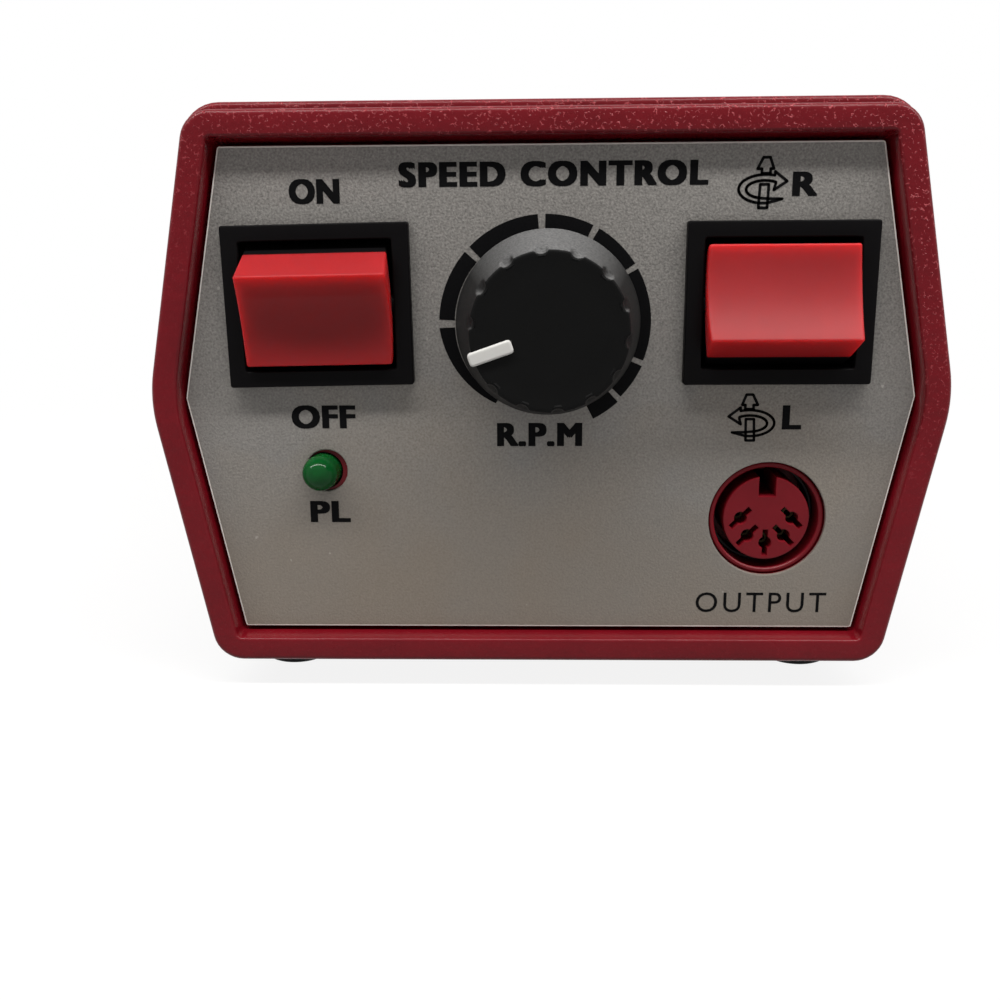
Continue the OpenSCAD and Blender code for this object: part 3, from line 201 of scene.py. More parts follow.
def drawn_in(loop: Sequence[Point], distance: float) -> Loop:
    """Moves an outline to the left of its own direction, which is inwards on an anticlockwise one.

    Args:
        loop: Points of the outline.
        distance: How far it moves.

    Returns:
        The moved points.
    """
    moved: Loop = []
    for i, point in enumerate(loop):
        before = (Vector(point) - Vector(loop[i - 1])).normalized()
        after = (Vector(loop[(i + 1) % len(loop)]) - Vector(point)).normalized()
        left = Vector((-before.y - after.y, before.x + after.x)).normalized()
        reach = distance / max(0.4, left.dot(Vector((-before.y, before.x))))
        moved.append((point[0] + left.x * reach, point[1] + left.y * reach))
    return moved


# Pieces


def linked(name: str, data: bpy.types.ID) -> bpy.types.Object:
    """Makes an object and links it to the scene.

    Args:
        name: Name of the object.
        data: Its mesh, letters, light or camera.

    Returns:
        The new object.
    """
    made = bpy.data.objects.new(name, data)
    bpy.context.scene.collection.objects.link(made)
    return made


def evaluated(piece: bpy.types.Object) -> bpy.types.Mesh:
    """Plain mesh of a piece, as its modifiers or its letters make it.

    Args:
        piece: The piece.

    Returns:
        A new mesh.
    """
    bpy.context.view_layer.update()
    graph = bpy.context.evaluated_depsgraph_get()
    return bpy.data.meshes.new_from_object(piece.evaluated_get(graph))


class Mould:
    """Collects the faces of one piece and casts them into an object."""

    def __init__(self) -> None:
        """Starts empty."""
        self.bm = bmesh.new()

    def ring(self, points: Sequence[Sequence[float]]) -> list[bmesh.types.BMVert]:
        """Adds a row of points in space."""
        return [self.bm.verts.new(p) for p in points]

    def level(self, loop: Sequence[Point], y: float) -> list[bmesh.types.BMVert]:
        """Adds a flat outline of the panel's plane at depth y."""
        return self.ring([(x, y, z) for x, z in loop])

    def floor(self, loop: Sequence[Point], z: float) -> list[bmesh.types.BMVert]:
        """Adds a flat outline of the ground's plane at height z."""
        return self.ring([(x, y, z) for x, y in loop])

    def skin(self, rings: Sequence[list], closed: bool = True, joined: bool = False) -> list:
        """Lays faces between one ring and the next.

        Args:
            rings: Rows of as many points each.
            closed: Whether each row closes on itself.
            joined: Whether the last row joins the first.

        Returns:
            The new faces.
        """
        faces = []
        pairs = list(zip(rings, rings[1:])) + ([(rings[-1], rings[0])] if joined else [])
        for a, b in pairs:
            for i in range(len(a) if closed else len(a) - 1):
                k = (i + 1) % len(a)
                faces.append(self.bm.faces.new((a[i], a[k], b[k], b[i])))
        return faces

    def fill(self, rings: Sequence[list]) -> None:
        """Fills the flat region between an outline and the holes in it.

        Args:
            rings: Rows of points: the outline, then the holes.
        """
        edges = []
        for ring in rings:
            for i, vert in enumerate(ring):
                pair = (vert, ring[(i + 1) % len(ring)])
                edges.append(self.bm.edges.get(pair) or self.bm.edges.new(pair))
        bmesh.ops.triangle_fill(self.bm, edges=edges, use_beauty=True)

    def fan(self, ring: list, tip: Sequence[float]) -> None:
        """Closes a ring with triangles that meet in one point.

        Args:
            ring: Row of points.
            tip: The point.
        """
        top = self.bm.verts.new(tip)
        for i, vert in enumerate(ring):
            self.bm.faces.new((vert, ring[(i + 1) % len(ring)], top))

    def plate(self, outline: Loop, holes: Sequence[Loop], front: float, back: float,
              edge: float = 0.0, steps: int = 3, edge_finish: int = 0) -> None:
        """Adds a plate with holes and rounded front edges.

        Args:
            outline: Outer outline.
            holes: Outlines of the holes.
            front: Depth of the front face.
            back: Depth of the back face.
            edge: Radius of the front edges.
            steps: Number of segments in an edge.
            edge_finish: Which of the piece's finishes the outer edge gets.
        """
        loops = [outline if area(outline) > 0 else outline[::-1]]
        loops += [hole if area(hole) < 0 else hole[::-1] for hole in holes]
        fronts, backs = [], []
        for loop in loops:
            rings = [self.level(loop, back)]
            if edge:
                for across, up in quarter(steps):
                    turned = drawn_in(loop, edge * (1 - across))
                    rings.append(self.level(turned, front + edge * (1 - up)))
                # A narrow flat row keeps the rounding's shade off the face
                rings.append(self.level(drawn_in(loop, edge * 1.5), front))
            else:
                rings.append(self.level(loop, front))
            for face in self.skin(rings):
                face.material_index = 0 if backs else edge_finish
            backs.append(rings[0])
            fronts.append(rings[-1])
        self.fill(fronts)
        self.fill(backs)

    def lathe(self, profile: Sequence[Point], centre: Vector, count: int = 96,
              ring: bool = False) -> None:
        """Turns a profile about an axis along Y.

        Args:
            profile: Points of radius and height towards the viewer.
            centre: Point of the axis at height nought.
            count: Number of segments round the axis.
            ring: Whether the profile is a closed loop, and not capped on the axis.
        """
        rings = []
        for radius, height in profile:
            loop = circle(centre.x, centre.z, radius, count)
            rings.append(self.level(loop, centre.y - height))
        self.skin(rings, joined=ring)
        if not ring:
            for end, (_, height) in ((rings[0], profile[0]), (rings[-1], profile[-1])):
                self.fan(end, (centre.x, centre.y - height, centre.z))

    def stroke(self, path: Sequence[Point], width: float, front: float, back: float) -> None:
        """Draws a closed line of a given width, with round joints.

        Args:
            path: Points of the line.
            width: Width of the line.
            front: Depth of its front face.
            back: Depth of its back face.
        """
        for i, here in enumerate(path):
            start, end = Vector(here), Vector(path[(i + 1) % len(path)])
            along = (end - start).normalized() * width / 2
            across = Vector((-along.y, along.x))
            corners = [start - across, end - across, end + across, start + across]
            self.plate([tuple(c) for c in corners], [], front, back)
            self.plate(circle(start.x, start.y, width / 2, 10), [], front, back)

    def copy(self, node: str) -> None:
        """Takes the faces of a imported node, with its seams merged and its flat faces joined.

        Args:
            node: Name of the node.
        """
        self.bm.from_mesh(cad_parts[node].data)
        bmesh.ops.remove_doubles(self.bm, verts=self.bm.verts, dist=SEAM)
        bmesh.ops.dissolve_limit(self.bm, angle_limit=math.radians(1), verts=self.bm.verts,
                                 edges=self.bm.edges)

    def cast(self, name: str, finish: "Finish", sharp: float = 35,
             second: Optional["Finish"] = None) -> bpy.types.Object:
        """Makes the object.

        Args:
            name: Name of the piece.
            finish: Its finish.
            sharp: Angle in degrees from which an edge stays sharp.
            second: Finish of the faces that are marked for a second one.

        Returns:
            The new object, linked to the scene.
        """
        bmesh.ops.recalc_face_normals(self.bm, faces=self.bm.faces)
        mesh = bpy.data.meshes.new(name)
        self.bm.to_mesh(mesh)
        self.bm.free()
        mesh.shade_smooth()
        mesh.set_sharp_from_angle(angle=math.radians(sharp))
        for coat in (finish, second):
            if coat:
                mesh.materials.append(coat.material())
        return linked(name, mesh)


def settle(piece: bpy.types.Object) -> bpy.types.Object:
    """Turns a piece's modifiers into plain mesh.

    Args:
        piece: The piece.

    Returns:
        The same piece.
    """
    mesh = evaluated(piece)
    piece.modifiers.clear()
    piece.data = mesh
    return piece


def carved(piece: bpy.types.Object, cutter: bpy.types.Object, own: bool) -> None:
    """Cuts one piece out of another, and removes the cutter.

    Args:
        piece: The piece that is cut.
        cutter: What is cut out of it.
        own: Whether the cutter's parts may overlap.
    """
    cut = piece.modifiers.new("cut", "BOOLEAN")
    cut.object = cutter
    cut.operation = "DIFFERENCE"
    cut.solver = "EXACT"
    cut.use_self = own
    settle(piece)
    bpy.data.objects.remove(cutter)


def eased(piece: bpy.types.Object, width: float, segments: int = 2,
          angle: float = 40) -> bpy.types.Object:
    """Rounds a piece's sharp edges.

    Args:
        piece: The piece.
        width: Width of the rounding.
        segments: Number of segments in it.
        angle: Angle in degrees from which an edge is rounded.

    Returns:
        The same piece.
    """
    ease = piece.modifiers.new("edges", "BEVEL")
    ease.width = width
    ease.segments = segments
    ease.limit_method = "ANGLE"
    ease.angle_limit = math.radians(angle)
    ease.use_clamp_overlap = True
    settle(piece)
    piece.data.shade_smooth()
    piece.data.set_sharp_from_angle(angle=math.radians(angle))
    return piece


def fit_out(piece: bpy.types.Object, body: str, slot: str, *nodes: str) -> bpy.types.Object:
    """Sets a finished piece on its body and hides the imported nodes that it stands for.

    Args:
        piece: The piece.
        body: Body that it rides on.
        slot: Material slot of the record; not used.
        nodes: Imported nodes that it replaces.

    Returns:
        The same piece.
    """
    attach(piece, body)
    if nodes:
        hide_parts(*nodes)
    LOG.info("%s rides on %s, %d faces", piece.name, body, len(piece.data.polygons))
    return piece


def middle(node: str) -> Vector:
    """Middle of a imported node's box."""
    low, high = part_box(node)
    return (low + high) / 2


def solids(node: str) -> list[tuple[Vector, Vector]]:
    """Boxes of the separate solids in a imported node.

    Args:
        node: Name of the node.

    Returns:
        The lowest and highest corner of each solid.
    """
    bm = bmesh.new()
    bm.from_mesh(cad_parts[node].data)
    bmesh.ops.remove_doubles(bm, verts=bm.verts, dist=SEAM)
    left = set(bm.verts)
    boxes = []
    while left:
        heap = [left.pop()]
        found = []
        while heap:
            vert = heap.pop()
            found.append(vert.co.copy())
            near = [edge.other_vert(vert) for edge in vert.link_edges]
            heap += [other for other in near if other in left]
            left.difference_update(near)
        boxes.append((Vector([min(c) for c in zip(*found)]),
                      Vector([max(c) for c in zip(*found)])))
    bm.free()
    return sorted(boxes, key=lambda box: tuple(box[0]))


# Finishes


class Nodes:
    """A node tree, with short ways to add nodes and to join them."""

    def __init__(self, tree: bpy.types.NodeTree) -> None:
        """Takes the tree."""
        self.tree = tree

    def feed(self, socket: bpy.types.NodeSocket, value: object) -> None:
        """Sets an input to a value, or joins it to a pair of node and output.

        Args:
            socket: The input.
            value: The value, or the pair.
        """
        if isinstance(value, tuple) and isinstance(value[0], bpy.types.Node):
            self.tree.links.new(value[0].outputs[value[1]], socket)
        else:
            socket.default_value = value

    def add(self, kind: str, **inputs: object) -> bpy.types.Node:
        """Adds a node.

        Args:
            kind: Type name of the node.
            inputs: What its inputs are fed, by name, with underscores for blanks.

        Returns:
            The new node.
        """
        node = self.tree.nodes.new(kind)
        for name, value in inputs.items():
            self.feed(node.inputs[name.replace("_", " ")], value)
        return node

    def fill(self, kind: str, *values: object, operation: str = "") -> bpy.types.Node:
        """Adds a node whose inputs are fed in order.

        Args:
            kind: Type name of the node.
            values: What its inputs are fed.
            operation: What it works out, for a node that can do several things.

        Returns:
            The new node.
        """
        node = self.tree.nodes.new(kind)
        if operation:
            node.operation = operation
        for socket, value in zip(node.inputs, values):
            self.feed(socket, value)
        return node

    def spread(self, source: bpy.types.Node, out: str | int, low: float, high: float,
               start: float = 0.0, end: float = 1.0) -> bpy.types.Node:
        """Moves a value from one range to another.

        Args:
            source: Node that gives the value.
            out: Its output.
            low: What the start of the range becomes.
            high: What the end of the range becomes.
            start: Start of the range.
            end: End of the range.

        Returns:
            The node, with its output Result.
        """
        return self.add("ShaderNodeMapRange", Value=(source, out), From_Min=start, From_Max=end,
                        To_Min=low, To_Max=high)

    def seen(self) -> bpy.types.Node:
        """One where a surface is seen, directly, in gloss or through glass; nought where it lights.

        Returns:
            The node, with its first output.
        """
        path = self.add("ShaderNodeLightPath")
        near = self.fill("ShaderNodeMath", (path, "Is Camera Ray"), (path, "Is Glossy Ray"),
                         operation="MAXIMUM")
        return self.fill("ShaderNodeMath", (near, 0), (path, "Is Transmission Ray"),
                         operation="MAXIMUM")


@dataclass(frozen=True)
class Crackle:
    """Broken pale lines on a grained skin, painted highlights on its ridges, more of them up, to
    the right and in front, where the light falls.
    """

    size: float = 0.6 * MM
    wander: float = 0.9
    line: Point = (0.03, 0.11)
    patch: Point = (0.54, 0.62)
    towards: tuple[float, float, float] = (0.3, -0.45, 1.0)
    reach: Point = (69 * MM, 109 * MM)
    share: Point = (0.06, 0.95)
    pale: float = 0.05
    gain: float = 2.5
    relief: float = 0.8


class Shader(Nodes):
    """Node tree of one finish, round a principled shader."""

    def __init__(self, name: str) -> None:
        """Starts a material with its shader and its object coordinates.

        Args:
            name: Name of the material.
        """
        self.material = bpy.data.materials.new(name)
        self.material.use_nodes = True
        super().__init__(self.material.node_tree)
        self.tree.nodes.clear()
        self.bsdf = self.add("ShaderNodeBsdfPrincipled")
        self.output = self.add("ShaderNodeOutputMaterial", Surface=(self.bsdf, "BSDF"))
        self.place = self.add("ShaderNodeTexCoord")

    def surface(self, **inputs: object) -> None:
        """Feeds the principled shader.

        Args:
            inputs: What its inputs are fed, by name, with underscores for blanks.
        """
        for name, value in inputs.items():
            self.feed(self.bsdf.inputs[name.replace("_", " ")], value)

    def stretched(self, scale: Sequence[float]) -> bpy.types.Node:
        """Object coordinates, scaled along each axis."""
        return self.add("ShaderNodeMapping", Vector=(self.place, "Object"), Scale=tuple(scale))

    def noise(self, size: float, detail: float = 2, rough: float = 0.5,
              mapping: Optional[bpy.types.Node] = None) -> bpy.types.Node:
        """Noise on object coordinates.

        Args:
            size: Size of its features, in metres.
            detail: Number of finer layers.
            rough: Strength of each finer layer.
            mapping: Node that gives other coordinates.

        Returns:
            The node, with its outputs Fac and Color.
        """
        place = (mapping, "Vector") if mapping else (self.place, "Object")
        return self.add("ShaderNodeTexNoise", Vector=place, Scale=1 / size, Detail=detail,
                        Roughness=rough)

    def cells(self, size: float, smooth: float = 0.6) -> bpy.types.Node:
        """Rounded cells.

        Args:
            size: Their size, in metres.
            smooth: How softly they meet.

        Returns:
            The node, with its output Distance.
        """
        node = self.add("ShaderNodeTexVoronoi", Vector=(self.place, "Object"), Scale=1 / size)
        node.feature = "SMOOTH_F1"
        node.inputs["Smoothness"].default_value = smooth
        return node

    def crackle(self, look: Crackle) -> bpy.types.Node:
        """Mask of broken thin lines between wandering cells.

        Args:
            look: Sizes of the lines, and where they lie.

        Returns:
            The node, with its output Color.
        """
        wander = self.noise(look.size * look.wander, 2, 0.6)
        lean = self.fill("ShaderNodeVectorMath", (wander, "Color"), (look.size,) * 3,
                         (self.place, "Object"), operation="MULTIPLY_ADD")
        cell = self.add("ShaderNodeTexVoronoi", Vector=(lean, "Vector"), Scale=1 / look.size)
        cell.feature = "DISTANCE_TO_EDGE"
        line = self.fade(cell, "Distance", look.line, WHITE, BLACK)
        patch = self.noise(look.size * look.wander)
        broken = self.fade(patch, "Fac", look.patch, BLACK, WHITE)
        # Painted highlights: the lines grow in number up, to the right and in front, towards the
        # light
        rise = self.fill("ShaderNodeVectorMath", (self.place, "Object"), look.towards,
                         operation="DOT_PRODUCT")
        lit_share = self.spread(rise, "Value", *look.share, *look.reach)
        return self.product(self.product(line, broken), lit_share, "Result")

    def upward(self, low: float, high: float) -> bpy.types.Node:
        """How far the surface faces up, between two heights of its normal."""
        parts = self.add("ShaderNodeSeparateXYZ", Vector=(self.place, "Normal"))
        return self.spread(parts, "Z", 0.0, 1.0, low, high)

    def product(self, one: bpy.types.Node, other: bpy.types.Node,
                out: str = "Color") -> bpy.types.Node:
        """Multiplies a colour by another node's output.

        Args:
            one: Node that gives the colour.
            other: The other node.
            out: Its output.

        Returns:
            The node, with its output Color.
        """
        node = self.add("ShaderNodeMixRGB", Fac=1.0, Color1=(one, "Color"), Color2=(other, out))
        node.blend_type = "MULTIPLY"
        return node

    def ramp(self, source: bpy.types.Node, out: str,
             stops: Sequence[tuple[float, Colour]]) -> bpy.types.Node:
        """Colours between stops, from a value.

        Args:
            source: Node that gives the value.
            out: Its output.
            stops: Places from 0 to 1 and their colours.

        Returns:
            The node, with its output Color.
        """
        node = self.add("ShaderNodeValToRGB", Fac=(source, out))
        band = node.color_ramp
        while len(band.elements) < len(stops):
            band.elements.new(1.0)
        for element, (place, colour) in zip(band.elements, stops):
            element.position = place
            element.color = (*colour, 1.0)
        return node

    def fade(self, source: bpy.types.Node, out: str, between: Point, first: Colour,
             last: Colour) -> bpy.types.Node:
        """Runs from one colour to another between two values.

        Args:
            source: Node that gives the value.
            out: Its output.
            between: The two values.
            first: Colour up to the first.
            last: Colour from the second.

        Returns:
            The node, with its output Color.
        """
        return self.ramp(source, out, list(zip(between, (first, last))))

    def blend(self, mask: bpy.types.Node, under: bpy.types.Node, over: Colour) -> bpy.types.Node:
        """Lays a colour over another where a mask is bright.

        Args:
            mask: Node that gives the mask.
            under: Node that gives the colour below.
            over: The colour above.

        Returns:
            The node, with its output Color.
        """
        return self.add("ShaderNodeMixRGB", Fac=(mask, "Color"), Color1=(under, "Color"),
                        Color2=(*over, 1.0))

    def relief(self, source: bpy.types.Node, out: str, depth: float, strength: float = 1.0,
               under: Optional[bpy.types.Node] = None) -> bpy.types.Node:
        """Bump from a value.

        Args:
            source: Node that gives the value.
            out: Its output.
            depth: Height of the bump, in metres.
            strength: Share of it that shows.
            under: Another bump below it.

        Returns:
            The node, with its output Normal.
        """
        node = self.add("ShaderNodeBump", Strength=strength, Distance=depth, Height=(source, out))
        if under:
            self.feed(node.inputs["Normal"], (under, "Normal"))
        return node


@dataclass(frozen=True)
class Finish:
    """What a surface is made of."""

    name: str
    colour: Colour

    def material(self) -> bpy.types.Material:
        """The finish's material, made at its first use.

        Returns:
            The material.
        """
        found = bpy.data.materials.get(self.name + "_finish")
        if found:
            return found
        shader = Shader(self.name + "_finish")
        self.paint(shader)
        return shader.material

    def paint(self, shader: Shader) -> None:
        """Builds the nodes; each kind of finish has its own.

        Args:
            shader: The finish's node tree.
        """
        raise NotImplementedError


@dataclass(frozen=True)
class Plastic(Finish):
    """Moulded plastic with a soft mottle and a grain from its mould."""

    roughness: float = 0.45
    gloss_swing: float = 0.08
    specular: float = 0.4
    mottle: float = 0.12
    mottle_size: float = 9 * MM
    grain_size: float = 0.5 * MM
    grain_depth: float = 0.02 * MM
    pebble_size: float = 0.0
    pebble_depth: float = 0.0
    crackle: Optional[Crackle] = None
    glow: float = 0.0
    glow_reach: tuple[float, float, float] = (0.009, 0.0012, 0.001)
    # Grey that upward faces turn to: painted sheen from above, with a speckle of dust
    dust_and_sheen: float = 0.0
    dust_stops: Point = (0.38, 0.62)
    dust_least: float = 0.45
    sheen_slope: Point = (0.5, 1.0)

    def paint(self, shader: Shader) -> None:
        """Mottled colour, uneven gloss and fine grain, and what else the finish has.

        Args:
            shader: The finish's node tree.
        """
        cloud = shader.noise(self.mottle_size, 4, 0.6)
        tint = shader.fade(cloud, "Fac", SOFT, shaded(self.colour, 1 - self.mottle),
                           shaded(self.colour, 1 + self.mottle))
        grain = shader.noise(self.grain_size, 3, 0.6)
        bump = shader.relief(grain, "Fac", self.grain_depth)
        # Painted highlights: the crackle's lines are lightened as if lit on the grain's ridges; the
        # relief under them is real
        if self.crackle:
            lines = shader.crackle(self.crackle)
            pale = tuple(self.crackle.pale + self.crackle.gain * part for part in self.colour)
            tint = shader.blend(lines, tint, pale)
            bump = shader.relief(lines, "Color", self.pebble_depth, self.crackle.relief, bump)
        # Painted sheen with real dust: faces that point up are lightened towards grey, as if lit
        # from above, broken by a speckle
        if self.dust_and_sheen:
            speckle = shader.fade(cloud, "Fac", self.dust_stops, grey(self.dust_least), WHITE)
            dust_and_sheen_mask = shader.product(speckle, shader.upward(*self.sheen_slope), "Result")
            tint = shader.blend(dust_and_sheen_mask, tint, grey(self.dust_and_sheen))
        if self.pebble_depth:
            pebble = shader.cells(self.pebble_size)
            bump = shader.relief(pebble, "Distance", self.pebble_depth, 1.0, bump)
        if self.glow:
            shader.surface(Subsurface_Weight=self.glow, Subsurface_Scale=1.0,
                           Subsurface_Radius=self.glow_reach)
        gloss = shader.spread(grain, "Fac", self.roughness - self.gloss_swing,
                              self.roughness + self.gloss_swing)
        shader.surface(Base_Color=(tint, "Color"), Roughness=(gloss, "Result"),
                       Specular_IOR_Level=self.specular, Normal=(bump, "Normal"))


@dataclass(frozen=True)
class PrintedSheet(Finish):
    """Silver-grey sheet with a sandy sheen, a few dust specks and faint stains."""

    roughness: float = 0.5
    gloss_swing: float = 0.1
    metallic: float = 0.25
    specular: float = 0.2
    sand_size: float = 0.3 * MM
    sand_depth: float = 0.06 * MM
    sand_stops: Point = (0.28, 0.72)
    sand_shade: Point = (0.64, 1.36)
    sand_share: Point = (0.3, 1.0)
    sand_reach: Point = (20 * MM, 56 * MM)
    stain_size: float = 30 * MM
    light_tint_rise: float = 12.0
    speck_size: float = 1.1 * MM
    speck_stops: Point = (0.77, 0.82)
    speck_share: float = 0.3
    speck_colour: Colour = ink(190, 186, 180)
    # Painted tint of light: warmer towards the foot and cooler towards the top, as the light that
    # falls on the sheet
    warm_cool_light_tint: tuple[tuple[float, Colour], ...] = (
        (0.55, (1.03, 0.97, 0.9)), (0.95, (1.0, 1.02, 1.04)), (1.0, (0.99, 1.03, 1.08)))

    def paint(self, shader: Shader) -> None:
        """Stained colour with a painted warm and cool tint of light up its height, under sand, with
        pale specks, over a sandy relief.

        Args:
            shader: The finish's node tree.
        """
        stain = shader.noise(self.stain_size, 3, 0.6)
        parts = shader.add("ShaderNodeSeparateXYZ", Vector=(shader.place, "Object"))
        rise = shader.fill("ShaderNodeMath", (parts, "Z"), self.light_tint_rise, (stain, "Fac"),
                           operation="MULTIPLY_ADD")
        base = shader.ramp(rise, "Value", [(place, shaded(self.colour, *shares))
                                           for place, shares in self.warm_cool_light_tint])
        sand = shader.noise(self.sand_size, 2, 0.6)
        shade = shader.fade(sand, "Fac", self.sand_stops, *map(grey, self.sand_shade))
        sanded = shader.product(base, shade)
        # Painted light on the grain: its shading is strongest at the top, where light grazes the
        # sheet, and faint towards the foot
        grain_light_share = shader.spread(parts, "Z", *self.sand_share, *self.sand_reach)
        shader.feed(sanded.inputs["Fac"], (grain_light_share, "Result"))
        dust_and_sheen = shader.noise(self.speck_size, 1, 0.4)
        mask = shader.fade(dust_and_sheen, "Fac", self.speck_stops, BLACK, grey(self.speck_share))
        dusty = shader.blend(mask, sanded, self.speck_colour)
        gloss = shader.spread(sand, "Fac", self.roughness - self.gloss_swing,
                              self.roughness + self.gloss_swing)
        bump = shader.relief(sand, "Fac", self.sand_depth)
        shader.surface(Base_Color=(dusty, "Color"), Metallic=self.metallic,
                       Roughness=(gloss, "Result"), Specular_IOR_Level=self.specular,
                       Normal=(bump, "Normal"))


@dataclass(frozen=True)
class Ink(Finish):
    """Screen-printed ink, a little uneven."""

    specular: float = 0.04
    gloss: Point = (0.55, 0.75)
    tooth_size: float = 0.18 * MM
    tooth_stops: Point = (0.3, 0.75)
    tooth_shade: Point = (0.7, 1.6)

    def paint(self, shader: Shader) -> None:
        """Flat ink with a fine tooth.

        Args:
            shader: The finish's node tree.
        """
        tooth = shader.noise(self.tooth_size, 2, 0.6)
        tint = shader.fade(tooth, "Fac", self.tooth_stops,
                           *(shaded(self.colour, share) for share in self.tooth_shade))
        gloss = shader.spread(tooth, "Fac", *self.gloss)
        shader.surface(Base_Color=(tint, "Color"), Roughness=(gloss, "Result"),
                       Specular_IOR_Level=self.specular)


@dataclass(frozen=True)
class LampLens(Finish):
    """Tinted clear lens of a small lamp."""

    roughness: float = 0.08
    specular: float = 0.1
    glow: float = 0.3
    glow_reach: tuple[float, float, float] = (0.0004, 0.002, 0.0006)

    def paint(self, shader: Shader) -> None:
        """Even tint with a little light in it, under a clear gloss.

        Args:
            shader: The finish's node tree.
        """
        shader.surface(Base_Color=(*self.colour, 1.0), Roughness=self.roughness,
                       Specular_IOR_Level=self.specular, Subsurface_Weight=self.glow,
                       Subsurface_Scale=1.0, Subsurface_Radius=self.glow_reach)


@dataclass(frozen=True)
class Metal(Finish):
    """Plated or bright metal with fine drawing marks."""

    roughness: float = 0.3
    gloss_swing: Point = (-0.1, 0.12)
    streak: tuple[float, float, float] = (1.0, 0.1, 1.0)
    mark_size: float = 0.3 * MM
    mark_depth: float = 0.004 * MM
    mark_shade: Point = (0.85, 1.1)

    def paint(self, shader: Shader) -> None:
        """Metal whose gloss varies along the drawing marks.

        Args:
            shader: The finish's node tree.
        """
        marks = shader.noise(self.mark_size, 3, 0.6, shader.stretched(self.streak))
        bright = tuple(min(1.0, part * self.mark_shade[1]) for part in self.colour)
        dull = shaded(self.colour, self.mark_shade[0])
        tint = shader.fade(marks, "Fac", SOFT, dull, bright)
        gloss = shader.spread(marks, "Fac", *(self.roughness + swing for swing in self.gloss_swing))
        bump = shader.relief(marks, "Fac", self.mark_depth)
        shader.surface(Base_Color=(tint, "Color"), Metallic=1.0, Roughness=(gloss, "Result"),
                       Normal=(bump, "Normal"))


@dataclass(frozen=True)
class Wound(Finish):
    """Lacquered wire or stacked sheet: fine even lines along one axis."""

    pitch: float = 0.5 * MM
    metallic: float = 0.8
    along: str = "Z"
    line_stops: Point = (0.1, 0.7)
    line_shade: float = 0.45
    line_depth: float = 0.05 * MM
    gloss: Point = (0.5, 0.32)

    def paint(self, shader: Shader) -> None:
        """Bands of light and dark, with a rounded relief.

        Args:
            shader: The finish's node tree.
        """
        lines = shader.add("ShaderNodeTexWave", Vector=(shader.place, "Object"),
                           Scale=0.1 / self.pitch, Distortion=0.4, Detail=1.0)
        lines.bands_direction = self.along
        dark = shaded(self.colour, self.line_shade)
        tint = shader.fade(lines, "Fac", self.line_stops, dark, self.colour)
        gloss = shader.spread(lines, "Fac", *self.gloss)
        bump = shader.relief(lines, "Fac", self.line_depth)
        shader.surface(Base_Color=(tint, "Color"), Metallic=self.metallic,
                       Roughness=(gloss, "Result"), Normal=(bump, "Normal"))


@dataclass(frozen=True)
class StudioPaper(Finish):
    """Pale floor that runs up behind the part."""

    fibre_size: float = 4 * MM
    fibre_shade: float = 0.98
    roughness: float = 0.9
    shadow_grey: float = 0.8
    fade_share: Point = (0.88, 1.0)
    fade_reach: Point = (0.1, 0.3)

    def paint(self, shader: Shader) -> None:
        """White where it is seen, with the part's shadow; plain grey where it lights.

        Args:
            shader: The finish's node tree.
        """
        fibre = shader.noise(self.fibre_size)
        dull = shaded(self.colour, self.fibre_shade)
        tint = shader.fade(fibre, "Fac", SOFT, dull, self.colour)
        shader.surface(Base_Color=(tint, "Color"), Roughness=self.roughness,
                       Specular_IOR_Level=0.0)
        white = shader.add("ShaderNodeEmission", Strength=1.0)
        pale = shader.add("ShaderNodeBsdfDiffuse", Color=(*grey(self.shadow_grey), 1.0))
        away = shader.fill("ShaderNodeVectorMath", (shader.place, "Object"), operation="LENGTH")
        fade = shader.spread(away, "Value", *self.fade_share, *self.fade_reach)
        sheet = shader.fill("ShaderNodeMixShader", (fade, "Result"), (pale, "BSDF"),
                            (white, "Emission"))
        both = shader.fill("ShaderNodeMixShader", (shader.seen(), 0), (shader.bsdf, "BSDF"),
                           (sheet, "Shader"))
        shader.feed(shader.output.inputs["Surface"], (both, "Shader"))


CASE_RED = Plastic("case_red", ink(98, 10, 20), roughness=0.3, specular=0.16, mottle=0.1,
                   grain_size=0.3 * MM, grain_depth=0.012 * MM, pebble_size=1.2 * MM,
                   pebble_depth=0.05 * MM, crackle=Crackle())
RIM_WALL = Plastic("rim_wall", ink(98, 10, 20), roughness=0.22, specular=0.5, mottle=0.1,
                   grain_size=0.3 * MM, grain_depth=0.008 * MM)
SOCKET_RED = Plastic("socket_red", ink(104, 14, 24), roughness=0.35, specular=0.15,
                     grain_depth=0.01 * MM)
ROCKER_RED = Plastic("rocker_red", ink(146, 22, 26), roughness=0.5, specular=0.22, mottle=0.05,
                     grain_size=0.3 * MM, grain_depth=0.006 * MM, glow=1.0)
SWITCH_BLACK = Plastic("switch_black", ink(10, 9, 10), roughness=0.4, specular=0.04,
                       grain_depth=0.008 * MM)
KNOB_BLACK = Plastic("knob_black", ink(10, 10, 10), roughness=0.5, specular=0.06,
                     grain_size=0.25 * MM, grain_depth=0.01 * MM)
